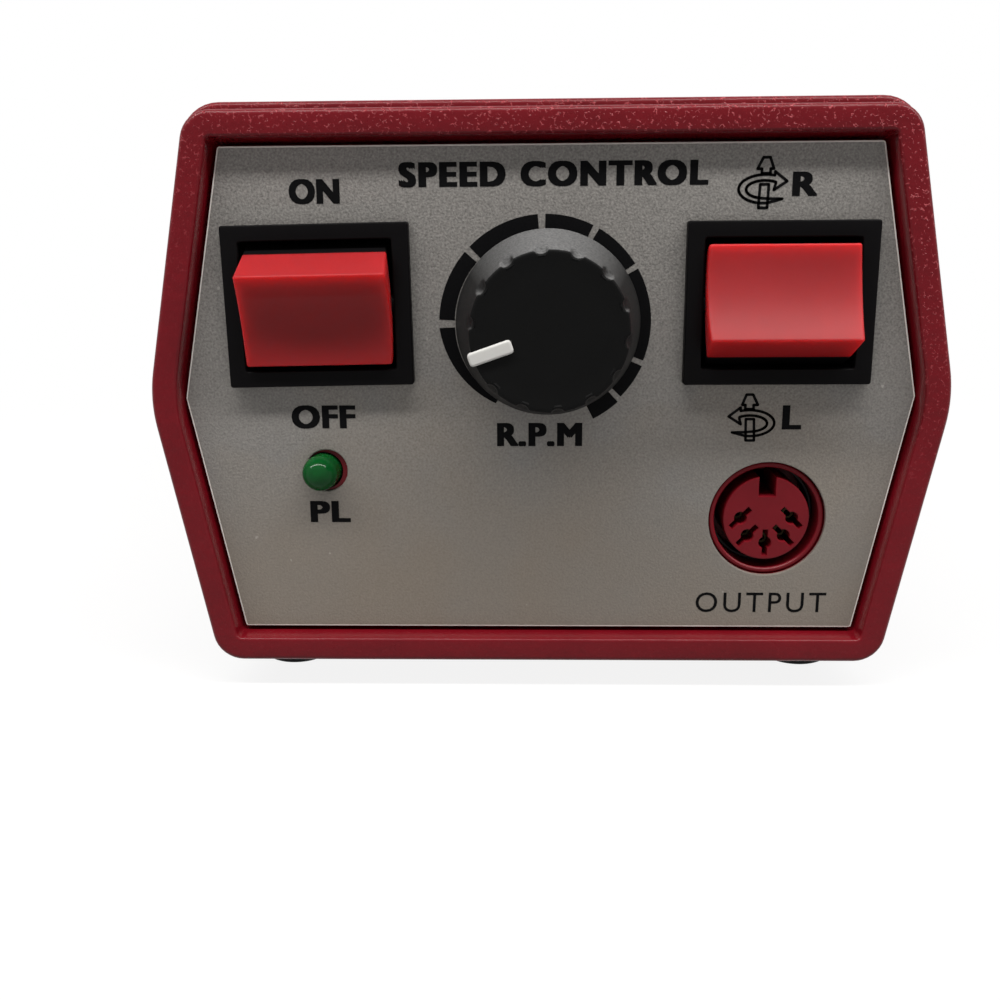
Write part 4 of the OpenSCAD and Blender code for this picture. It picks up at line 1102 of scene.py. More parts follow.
# The knob's side: a lighter copy of the knob's black plastic, with painted sheen on faces that
# point up
KNOB_SIDE_SHEEN = Plastic("knob_side_sheen", ink(24, 24, 24), roughness=0.55, specular=0.1, mottle=0.5,
                     mottle_size=0.3 * MM, grain_size=0.2 * MM, grain_depth=0.03 * MM, dust_and_sheen=0.15)
POINTER_WHITE = Plastic("pointer_white", ink(190, 189, 186), roughness=0.35, specular=0.2,
                        mottle=0.03, grain_depth=0.004 * MM)
FOOT_RUBBER = Plastic("foot_rubber", ink(24, 22, 22), roughness=0.75, specular=0.1,
                      grain_depth=0.03 * MM)
BLACK_PLASTIC = Plastic("black_plastic", ink(22, 21, 21), roughness=0.42, specular=0.2)
PANEL_SILVER = PrintedSheet("panel_silver", ink(121, 116, 110))
# Near white cut edge of the sheet: a pale line round it, partly its own colour and partly a painted
# highlight that stays bright where little light falls
SHEET_EDGE = Plastic("sheet_edge", ink(226, 221, 215), roughness=0.4, specular=0.3)
PANEL_INK = Ink("panel_ink", ink(8, 8, 9))
# Near black brass of the contacts deep in their holes: painted shade
BRASS_IN_SHADE = Metal("brass_in_shade", (0.045, 0.034, 0.018), roughness=0.5)
# Near black metal of the sleeve at the foot of the socket's slot: painted shade of the deep slot
SHIELD_IN_SHADE = Metal("shield_in_shade", (0.02, 0.018, 0.018), roughness=0.5)
STEEL = Metal("steel", (0.56, 0.57, 0.58), roughness=0.3)
TINNED_STEEL = Metal("tinned_steel", (0.62, 0.63, 0.64), roughness=0.36, streak=(1.0, 1.0, 0.2))
CONTACT_BRASS = Metal("contact_brass", (0.56, 0.4, 0.14), roughness=0.28)
SINK_ALUMINIUM = Metal("sink_aluminium", (0.5, 0.51, 0.52), roughness=0.4, streak=(1.0, 1.0, 0.05))
WINDING_COPPER = Wound("winding_copper", (0.5, 0.2, 0.06), pitch=0.5 * MM)
CORE_IRON = Wound("core_iron", (0.1, 0.1, 0.11), pitch=0.5 * MM, metallic=0.6, along="Y")
BOBBIN_NYLON = Plastic("bobbin_nylon", (0.62, 0.59, 0.5))
PLUNGER_NYLON = Plastic("plunger_nylon", (0.68, 0.67, 0.63))
WIPER_PHENOLIC = Plastic("wiper_phenolic", (0.15, 0.1, 0.05), mottle=0.3, mottle_size=1.5 * MM)
BOARD_LAMINATE = Plastic("board_laminate", (0.03, 0.16, 0.06), mottle=0.2, mottle_size=3 * MM)
CAPACITOR_SLEEVE = Plastic("capacitor_sleeve", (0.02, 0.03, 0.12), roughness=0.25)
FUSE_GLASS = Plastic("fuse_glass", (0.66, 0.7, 0.72), roughness=0.15, grain_depth=0.002 * MM)
CONNECTOR_WHITE = Plastic("connector_white", (0.72, 0.7, 0.63))
LAMP_GREEN = LampLens("lamp_green", shaded(ink(6, 56, 21), 1.5))
PAPER = StudioPaper("studio_paper", grey(0.33))


# Repeats made with Geometry Nodes


class NodeRule(Nodes):
    """A Geometry Nodes tree with named inputs, run on a piece and settled into its mesh."""

    def __init__(self, name: str) -> None:
        """Starts the tree with a geometry input and output.

        Args:
            name: Name of the tree.
        """
        super().__init__(bpy.data.node_groups.new(name, "GeometryNodeTree"))
        self.sockets: dict[str, str] = {}
        for way in ("OUTPUT", "INPUT"):
            self.tree.interface.new_socket("Geometry", in_out=way,
                                           socket_type="NodeSocketGeometry")
        self.source = self.add("NodeGroupInput")
        self.sink = self.add("NodeGroupOutput")

    def ask(self, **kinds: str) -> None:
        """Adds named inputs.

        Args:
            kinds: Kind of each, such as Float or Vector, by name, with underscores for blanks.
        """
        for name, kind in kinds.items():
            socket = self.tree.interface.new_socket(name.replace("_", " "), in_out="INPUT",
                                                    socket_type="NodeSocket" + kind)
            self.sockets[name] = socket.identifier

    def math(self, operation: str, *values: object) -> tuple[bpy.types.Node, int]:
        """Adds a sum.

        Args:
            operation: What it works out.
            values: Numbers, or pairs of node and output.

        Returns:
            The pair of its own node and output.
        """
        return self.fill("ShaderNodeMath", *values, operation=operation), 0

    def end(self, node: bpy.types.Node, out: str = "Geometry") -> None:
        """Joins the last node to the tree's output through its material.

        Args:
            node: The last node.
            out: Its output.
        """
        made = self.add("GeometryNodeRealizeInstances", Geometry=(node, out))
        dressed = self.add("GeometryNodeSetMaterial", Geometry=(made, "Geometry"),
                           Material=(self.source, "Finish"))
        self.feed(self.sink.inputs["Geometry"], (dressed, "Geometry"))

    def run(self, piece: bpy.types.Object, **values: object) -> bpy.types.Object:
        """Runs the tree on a piece with its named inputs.

        Args:
            piece: The piece that the tree takes as its geometry.
            values: The inputs, by name, with underscores for blanks.

        Returns:
            The same piece, as plain mesh.
        """
        rule = piece.modifiers.new(self.tree.name, "NODES")
        rule.node_group = self.tree
        for name, value in values.items():
            rule[self.sockets[name]] = value
        return settle(piece)


def repeat_rule() -> NodeRule:
    """Sets a piece at each point, turned by an even random angle about an axis.

    Returns:
        The tree.
    """
    rule = NodeRule("repeat_at_points")
    rule.ask(Piece="Object", Axis="Vector", Turn="Float", Seed="Int", Finish="Material")
    piece = rule.add("GeometryNodeObjectInfo", Object=(rule.source, "Piece"))
    chance = rule.add("FunctionNodeRandomValue", Seed=(rule.source, "Seed"))
    chance.data_type = "FLOAT"
    angle = rule.math("MULTIPLY", (chance, 1), (rule.source, "Turn"))
    spin = rule.add("FunctionNodeAxisAngleToRotation", Axis=(rule.source, "Axis"), Angle=angle)
    placed = rule.add("GeometryNodeInstanceOnPoints", Points=(rule.source, "Geometry"),
                      Instance=(piece, "Geometry"), Rotation=(spin, "Rotation"))
    rule.end(placed, "Instances")
    return rule


def flute_rule() -> NodeRule:
    """Presses flutes into a turned piece about an axis along Y, from one depth forwards.

    Returns:
        The tree.
    """
    rule = NodeRule("press_flutes")
    rule.ask(Centre_X="Float", Centre_Z="Float", Count="Float", Phase="Float", Share="Float",
             Depth="Float", From_Y="Float", Run="Float", Least_Radius="Float", Finish="Material")
    given = rule.source
    position = rule.add("GeometryNodeInputPosition")
    parts = rule.add("ShaderNodeSeparateXYZ", Vector=(position, 0))
    across = rule.math("SUBTRACT", (parts, 0), (given, "Centre X"))
    up = rule.math("SUBTRACT", (parts, 2), (given, "Centre Z"))
    radius = rule.math("SQRT", rule.math("ADD", rule.math("MULTIPLY", across, across),
                                         rule.math("MULTIPLY", up, up)))
    turn = rule.math("ADD", rule.math("ARCTAN2", up, across), (given, "Phase"))
    wave = rule.math("COSINE", rule.math("MULTIPLY", turn, (given, "Count")))
    # The crest of the wave above Share is the flute's bowl
    crest = rule.math("DIVIDE", rule.math("SUBTRACT", wave, (given, "Share")),
                      rule.math("SUBTRACT", 1.0, (given, "Share")))
    bowl = rule.math("SQRT", rule.math("MAXIMUM", crest, 0.0))
    ahead = rule.math("DIVIDE", rule.math("SUBTRACT", (given, "From Y"), (parts, 1)),
                      (given, "Run"))
    ease = rule.math("MINIMUM", rule.math("MAXIMUM", ahead, 0.0), 1.0)
    outer = rule.math("GREATER_THAN", radius, (given, "Least Radius"))
    press = rule.math("MULTIPLY", rule.math("MULTIPLY", bowl, ease),
                      rule.math("MULTIPLY", outer, (given, "Depth")))
    # The least divisor keeps a point on the axis from dividing by nought
    share = rule.math("DIVIDE", press, rule.math("MAXIMUM", radius, 1e-6))
    offset = rule.add("ShaderNodeCombineXYZ",
                      X=rule.math("MULTIPLY", rule.math("MULTIPLY", across, share), -1.0),
                      Z=rule.math("MULTIPLY", rule.math("MULTIPLY", up, share), -1.0))
    moved = rule.add("GeometryNodeSetPosition", Geometry=(given, "Geometry"), Offset=(offset, 0))
    rule.end(moved)
    return rule


def arc_rule() -> NodeRule:
    """Prints one flat stretch of a ring on the panel.

    Returns:
        The tree.
    """
    rule = NodeRule("print_arc")
    rule.ask(Centre="Vector", Radius="Float", Width="Float", Height="Float", Start="Float",
             Sweep="Float", Finish="Material")
    arc = rule.add("GeometryNodeCurveArc", Resolution=48, Radius=(rule.source, "Radius"),
                   Start_Angle=(rule.source, "Start"), Sweep_Angle=(rule.source, "Sweep"))
    band = rule.add("GeometryNodeCurvePrimitiveQuadrilateral", Width=(rule.source, "Width"),
                    Height=(rule.source, "Height"))
    strip = rule.add("GeometryNodeCurveToMesh", Curve=(arc, "Curve"),
                     Profile_Curve=(band, "Curve"), Fill_Caps=True)
    placed = rule.add("GeometryNodeTransform", Geometry=(strip, "Mesh"),
                      Rotation=(math.pi / 2, 0.0, 0.0), Translation=(rule.source, "Centre"))
    rule.end(placed)
    return rule


def at_points(name: str, places: Sequence[Vector], piece: bpy.types.Object, rule: NodeRule,
              axis: Vector, finish: Finish) -> bpy.types.Object:
    """Sets a piece at each of some places, each turned at random.

    Args:
        name: Name of the result.
        places: Where the piece's own origin goes.
        piece: The piece to repeat, which is removed afterwards.
        rule: The tree that repeats it.
        axis: Axis that it turns about.
        finish: Finish of the result.

    Returns:
        One object that holds every copy.
    """
    mesh = bpy.data.meshes.new(name)
    mesh.from_pydata([tuple(p) for p in places], [], [])
    spots = linked(name, mesh)
    rule.run(spots, Piece=piece, Axis=axis, Turn=math.tau, Seed=TURN_SEED,
             Finish=finish.material())
    bpy.data.objects.remove(piece)
    return spots


# Sub-assemblies


@dataclass
class Datum:
    """The panel's front face, from which everything on the front is set out."""

    y: float
    x: float
    z: float

    @classmethod
    def of_panel(cls) -> "Datum":
        """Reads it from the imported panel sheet."""
        low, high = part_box("panel_overlay")
        return cls(low.y, (low.x + high.x) / 2, (low.z + high.z) / 2)

    def point(self, x: float, z: float, out: float = 0.0) -> Vector:
        """A point x to the right, z up and out in front of the panel's middle."""
        return Vector((self.x + x, self.y - out, self.z + z))


@dataclass
class CaseOutline:
    """Six-sided outline of the case round the panel."""

    datum: Datum
    end_width: float = 85 * MM
    rim_reach: float = 4.4 * MM
    top_radius: float = 4 * MM
    bottom_radius: float = 4.2 * MM
    side_radius: float = 20 * MM
    least_radius: float = 0.45 * MM
    half_mid: float = field(init=False)
    half_high: float = field(init=False)

    def __post_init__(self) -> None:
        """Takes the panel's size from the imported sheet."""
        low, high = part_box("panel_overlay")
        self.half_mid = (high.x - low.x) / 2
        self.half_high = (high.z - low.z) / 2

    def slope(self) -> float:
        """How much narrower a side gets for each unit of height."""
        return (self.half_mid - self.end_width / 2) / self.half_high

    def corners(self, reach: float) -> list[Point]:
        """Corners of the outline, from the upper right clockwise.

        Args:
            reach: Distance outwards from the panel's edge.

        Returns:
            The six corners.
        """
        mid = self.half_mid + reach * math.hypot(1, self.slope())
        high = self.half_high + reach
        end = mid - high * self.slope()
        x, z = self.datum.x, self.datum.z
        return [(x + end, z + high), (x + mid, z), (x + end, z - high),
                (x - end, z - high), (x - mid, z), (x - end, z + high)]

    def loop(self, reach: float, steps: int = 8) -> Loop:
        """The rounded outline at a reach from the panel's edge.

        Args:
            reach: Distance outwards.
            steps: Number of segments in a corner.

        Returns:
            The outline's points.
        """
        top = max(self.least_radius, self.top_radius + reach - self.rim_reach)
        bottom = max(self.least_radius, self.bottom_radius + reach - self.rim_reach)
        side = self.side_radius
        return rounded(self.corners(reach), [top, side, bottom, bottom, side, top], steps)

    def half(self, reach: float, half: Half, split: float, steps: int = 8) -> Loop:
        """The part of the outline above or below the split, from one side to the other.

        Args:
            reach: Distance outwards.
            half: Which shell.
            split: Height of the split over the widest line.
            steps: Number of segments in a corner.

        Returns:
            The open line's points.
        """
        loop = self.loop(reach, steps)
        n = steps + 1
        corner = [loop[i * n:(i + 1) * n] for i in range(6)]
        edge = self.half_mid + reach * math.hypot(1, self.slope()) - split * self.slope()
        z = self.datum.z + split
        right, left = (self.datum.x + edge, z), (self.datum.x - edge, z)
        if half is Half.UPPER:
            return [left, *corner[5], *corner[0], right]
        return [right, *corner[1], *corner[2], *corner[3], *corner[4], left]


@dataclass
class FrontFrame:
    """Red moulded frame: a rim round a recess, and the wall behind the panel."""

    outline: CaseOutline
    recess: float = 2.2 * MM
    face_inner: float = 1.05 * MM
    wall_foot: float = 0.18 * MM
    outer_round: float = 0.75 * MM
    inner_round: float = 0.45 * MM
    sheet: float = 0.5 * MM
    back: float = 3.0 * MM
    skirt_outer: float = 1.7 * MM
    skirt_wall: float = 2.2 * MM
    skirt_end: float = 8.5 * MM
    groove_floor: float = 2.4 * MM
    land: float = -0.2 * MM
    lap: float = 0.2 * MM

    def rim(self) -> list[Point]:
        """Section of the rim.

        Returns:
            Points of reach and height in front of the panel.
        """
        reach, high = self.outline.rim_reach, self.recess
        r, q = self.outer_round, self.inner_round
        inside = self.land - self.lap
        section = [(inside, -self.back), (reach, -self.back)]
        section += [(reach - r + r * c, high - r + r * s) for c, s in quarter(5)]
        section += [(self.face_inner + q - q * s, high - q + q * c) for c, s in quarter(4)]
        section += [(self.wall_foot, -self.groove_floor), (inside, -self.groove_floor)]
        return section

    def build(self, holes: Sequence[Loop]) -> bpy.types.Object:
        """Makes the frame.

        Args:
            holes: Outlines of the openings in the wall.

        Returns:
            The finished piece.
        """
        y = self.outline.datum.y
        mould = Mould()
        rows = [mould.level(self.outline.loop(reach), y - out) for reach, out in self.rim()]
        faces = mould.skin(rows, joined=True)
        # The third last row of faces is the wall down to the panel, smoother than the rest
        first = (len(rows) - 3) * len(rows[0])
        for face in faces[first:first + len(rows[0])]:
            face.material_index = 1
        inner, start = self.skirt_outer - self.skirt_wall, self.back - self.lap
        skirt = [(inner, start), (self.skirt_outer, start), (self.skirt_outer, self.skirt_end),
                 (inner, self.skirt_end)]
        mould.skin([mould.level(self.outline.loop(reach), y + deep) for reach, deep in skirt],
                   joined=True)
        mould.plate(self.outline.loop(self.land), holes, y + self.sheet, y + self.back)
        piece = mould.cast("front_frame_moulding", CASE_RED, 35, RIM_WALL)
        return fit_out(piece, "case", "case_red", "front_frame")


@dataclass
class PanelSheet:
    """Printed panel sheet in the recess."""

    outline: CaseOutline
    corner: float = 0.4 * MM
    edge: float = 0.14 * MM

    def build(self, holes: Sequence[Loop]) -> bpy.types.Object:
        """Makes the sheet.

        Args:
            holes: Outlines of its openings.

        Returns:
            The finished piece.
        """
        low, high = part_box("panel_overlay")
        mould = Mould()
        border = rounded(self.outline.corners(0.0), [self.corner] * 6, 4)
        mould.plate(border, holes, low.y, high.y, self.edge, steps=2, edge_finish=1)
        piece = mould.cast("panel_sheet", PANEL_SILVER, 35, SHEET_EDGE)
        return fit_out(piece, "case", "panel_silver", "panel_overlay")


@dataclass
class Word:
    """A word on the panel, in the box that it fills."""

    text: str
    left: float
    top: float
    right: float
    bottom: float
    weight: Weight
    spacing: float = 1.12
    layer: float = 0.001 * MM

    def print_on(self, mould: Mould, datum: Datum, front: float, back: float) -> None:
        """Adds the word's letters to a mould.

        Args:
            mould: The mould of the panel's print.
            datum: The panel's front face.
            front: Height of the ink in front of the panel.
            back: Depth of the ink behind the panel's face.
        """
        curve = bpy.data.curves.new(self.text, "FONT")
        curve.body = self.text
        curve.space_character = self.spacing
        curve.extrude = 0.1
        curve.resolution_u = 4
        letters = linked(self.text, curve)
        mesh = evaluated(letters)
        low = Vector([min(v.co[i] for v in mesh.vertices) for i in range(3)])
        size = Vector([max(v.co[i] for v in mesh.vertices) for i in range(3)]) - low
        wide, high = self.weight.value
        for vert in mesh.vertices:
            part = Vector([(vert.co[i] - low[i]) / size[i] for i in range(3)])
            vert.co = datum.point(self.left + wide + (self.right - self.left - 2 * wide) * part.x,
                                  self.bottom + high + (self.top - self.bottom - 2 * high) * part.y,
                                  -back + (front + back) * part.z)
        # A heavier weight is the word laid down again to every side
        steps = [(0.0, 0.0)]
        if wide:
            steps = [(i * wide, k * high) for i in (-1, 0, 1) for k in (-1, 0, 1)]
        at = Vector((0.0, 0.0, 0.0))
        for i, (x, z) in enumerate(steps):
            there = Vector((x, -self.layer * i, z))
            mesh.transform(Matrix.Translation(there - at))
            at = there
            mould.bm.from_mesh(mesh)
        bpy.data.objects.remove(letters)
        bpy.data.curves.remove(curve)
        bpy.data.meshes.remove(mesh)


@dataclass
class TurnSign:
    """Sign of a turning direction: a ring arrow round an upright arrow."""

    x: float
    z: float
    side: Side
    narrow: float = 0.93
    line: float = 0.36 * MM

    def paths(self) -> list[Loop]:
        """The sign's outlines in the panel's plane, about its own middle.

        Returns:
            The outlines, in millimetres.
        """
        def bow(x: float, z: float, wide: float, high: float, start: float, end: float) -> Loop:
            """Points of an ellipse's arc between two angles in degrees."""
            turns = [math.radians(start + (end - start) * i / 18) for i in range(19)]
            return [(x + wide * math.cos(t), z + high * math.sin(t)) for t in turns]

        head = [(-0.07, 3.1), (0.87, 3.1), (1.43, 1.71), (0.96, 1.71), (0.96, 1.15),
                (-0.21, 1.15), (-0.21, 1.71), (-0.81, 1.71)]
        shaft = [(-0.35, -0.2), (0.82, -0.2), (0.73, -3.1), (-0.49, -3.1)]
        sweep = [(1.62, 1.37), (3.3, 0.17), (1.52, -0.9), (1.76, -0.1),
                 *bow(0.26, -0.81, 2.52, 1.1, 54, 253),
                 (0.82, -1.97), (2.74, -2.0), (0.73, -2.5),
                 *bow(0.355, -0.765, 3.64, 1.78, 257, 70)]
        return [head, shaft, sweep]

    def print_on(self, mould: Mould, datum: Datum, front: float, back: float) -> None:
        """Adds the sign's lines to a mould.

        Args:
            mould: The mould of the panel's print.
            datum: The panel's front face.
            front: Height of the ink in front of the panel.
            back: Depth of the ink behind the panel's face.
        """
        for path in self.paths():
            line = [(datum.x + self.x + self.side.value * x * MM * self.narrow,
                     datum.z + self.z + z * MM) for x, z in path]
            mould.stroke(line, self.line, datum.y - front, datum.y + back)


@dataclass
class PanelPrint:
    """Black print on the panel: words, turning signs and the scale round the knob."""

    datum: Datum
    knob_z: float
    ring_outer: float = 13.95 * MM
    ring_inner: float = 11.9 * MM
    ring_shift: Point = (-0.35 * MM, -0.15 * MM)
    front: float = 0.03 * MM
    back: float = 0.05 * MM
    ring_wedge: Point = (-148.5, -92.5)
    ring_taper: float = 1.45 * MM
    ring_stretches: tuple[tuple[float, float, float], ...] = (
        (-88, -48.5, 0.0), (-45, -4, 0.0), (0, 26.5, 0.0), (30, 57, 0.0), (60, 111, 0.0),
        (114, 134, 0.15 * MM), (137, 153, 0.4 * MM))

    def words(self) -> list[Word]:
        """The panel's words, in boxes of left, top, right and bottom in millimetres.

        Returns:
            The words.
        """
        rows = [("ON", -33.5, 28.39, -26.89, 25.23, Weight.BOLD, 1.1),
                ("OFF", -34.57, -1.0, -25.88, -4.2, Weight.BOLD, 1.1),
                ("SPEED CONTROL", -19.22, 30.35, 20.41, 27.2, Weight.HEAVY, 1.2),
                ("R.P.M", -6.75, -3.49, 4.74, -6.7, Weight.BOLD, 1.12),
                ("PL", -32.6, -14.31, -27.04, -17.3, Weight.BOLD, 1.1),
                ("OUTPUT", 20.82, -27.4, 38.83, -30.3, Weight.THIN, 1.2),
                ("R", 31.1, 28.75, 34.29, 25.74, Weight.BOLD, 1.0),
                ("L", 31.43, -1.2, 34.0, -4.45, Weight.BOLD, 1.0)]
        return [Word(text, *(v * MM for v in box), weight, spacing)
                for text, *box, weight, spacing in rows]

    def signs(self) -> list[TurnSign]:
        """The two turning signs."""
        return [TurnSign(27.35 * MM, 27.43 * MM, Side.RIGHT),
                TurnSign(27.35 * MM, -2.84 * MM, Side.LEFT)]

    def wedge(self) -> Loop:
        """Outline of the scale's first stretch, which narrows towards its start.

        Returns:
            The outline's points.
        """
        start, end = self.ring_wedge
        x = self.datum.x + self.ring_shift[0]
        z = self.datum.z + self.knob_z + self.ring_shift[1]
        outer, inner = [], []
        for i in range(33):
            turn = math.radians(90 - start - (end - start) * i / 32)
            reach = self.ring_outer - self.ring_taper * (1 - i / 32)
            for line, far in ((outer, reach), (inner, self.ring_inner)):
                line.append((x + far * math.cos(turn), z + far * math.sin(turn)))
        return outer + inner[::-1]

    def build(self) -> bpy.types.Object:
        """Prints everything as one piece.

        Returns:
            The finished piece.
        """
        mould = Mould()
        for mark in (*self.words(), *self.signs()):
            mark.print_on(mould, self.datum, self.front, self.back)
        mould.plate(self.wedge(), [], self.datum.y - self.front, self.datum.y + self.back)
        rule = arc_rule()
        centre = self.datum.point(self.ring_shift[0], self.knob_z + self.ring_shift[1],
                                  (self.front - self.back) / 2)
        for start, end, wider in self.ring_stretches:
            strip = linked("scale_stretch", bpy.data.meshes.new("scale_stretch"))
            rule.run(strip, Centre=centre, Radius=(self.ring_outer + wider + self.ring_inner) / 2,
                     Width=self.ring_outer + wider - self.ring_inner,
                     Height=self.front + self.back, Start=math.radians(90 - end),
                     Sweep=math.radians(end - start), Finish=PANEL_INK.material())
            mould.bm.from_mesh(strip.data)
            bpy.data.objects.remove(strip)
        return fit_out(mould.cast("panel_print", PANEL_INK), "case", "panel_silver")


@dataclass
class CaseShells:
    """Upper cover and lower case, open at the front and the back."""

    outline: CaseOutline
    wall: float = 2.5 * MM
    proud: float = 1.3 * MM
    split: float = 3 * MM
    front_round: float = 0.7 * MM
    inner_round: float = 0.3 * MM
    well_radius: float = 2.83 * MM
    well_wall: float = 1.2 * MM
    well_hole: float = 1.3 * MM
    well_foot: float = 0.3 * MM
    well_seat: float = 2 * MM
    well_top: float = 3 * MM
    well_past: float = 1 * MM

    def section(self, outer: float, front: float, end: float) -> list[Point]:
        """Section of a shell's wall, round its rounded edges.

        Args:
            outer: Reach of its outer face.
            front: Depth of its front end.
            end: Depth of its back end.

        Returns:
            Points of reach and depth.
        """
        r, q = self.front_round, self.inner_round
        inner = outer - self.wall
        line = [(outer - r + r * s, front + r - r * c) for c, s in quarter(5)]
        line += [(outer - r + r * c, end - r + r * s) for c, s in quarter(5)]
        return line + [(inner + q, end), (inner, end - q), (inner, front + q), (inner + q, front)]

    def shell(self, half: Half, outer: float, node: str) -> Mould:
        """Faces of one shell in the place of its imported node.

        Args:
            half: Which shell.
            outer: Reach of its outer face from the panel's edge.
            node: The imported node.

        Returns:
            The mould that holds them.
        """
        low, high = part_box(node)
        mould = Mould()
        rows = [mould.level(self.outline.half(reach, half, self.split), y)
                for reach, y in self.section(outer, low.y, high.y)]
        mould.skin(rows, closed=False, joined=True)
        mould.bm.faces.new([row[0] for row in rows])
        mould.bm.faces.new([row[-1] for row in rows])
        return mould

    def build(self) -> list[bpy.types.Object]:
        """Makes both shells.

        Returns:
            The finished pieces.
        """
        reach = self.outline.rim_reach
        upper = self.shell(Half.UPPER, reach + self.proud, "upper_cover")
        cover = fit_out(upper.cast("cover_shell", CASE_RED), "case", "case_red", "upper_cover")
        lower = self.shell(Half.LOWER, reach, "lower_case").cast("lower_shell", CASE_RED)
        self.wells(lower)
        return [cover, fit_out(lower, "case", "case_red", "lower_case")]

    def wells(self, lower: bpy.types.Object) -> None:
        """Opens the closing screws' wells in the lower shell and adds their walls.

        Args:
            lower: The lower shell.
        """
        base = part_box("lower_case")[0].z
        past, foot = self.well_past, base + self.well_foot
        r, w, hole = self.well_radius, self.well_radius + self.well_wall, self.well_hole
        mould, tubes = Mould(), Mould()
        for low, high in solids("closing_screws"):
            spot = (low + high) / 2
            rings = [mould.floor(circle(spot.x, spot.y, r, 40), z)
                     for z in (base - past, base + self.wall + past)]
            mould.skin(rings)
            mould.fill([rings[0]])
            mould.fill([rings[1]])
            seat, top = low.z + self.well_seat, low.z + self.well_top
            rows = [(w, foot), (w, top), (hole, top), (hole, seat), (r, seat), (r, foot)]
            tubes.skin([tubes.floor(circle(spot.x, spot.y, radius, 40), z) for radius, z in rows],
                       joined=True)
        carved(lower, mould.cast("well_cutter", CASE_RED), own=False)
        walls = tubes.cast("well_walls", CASE_RED)
        joined = Mould()
        joined.bm.from_mesh(lower.data)
        joined.bm.from_mesh(walls.data)
        joined.bm.to_mesh(lower.data)
        joined.bm.free()
        bpy.data.objects.remove(walls)


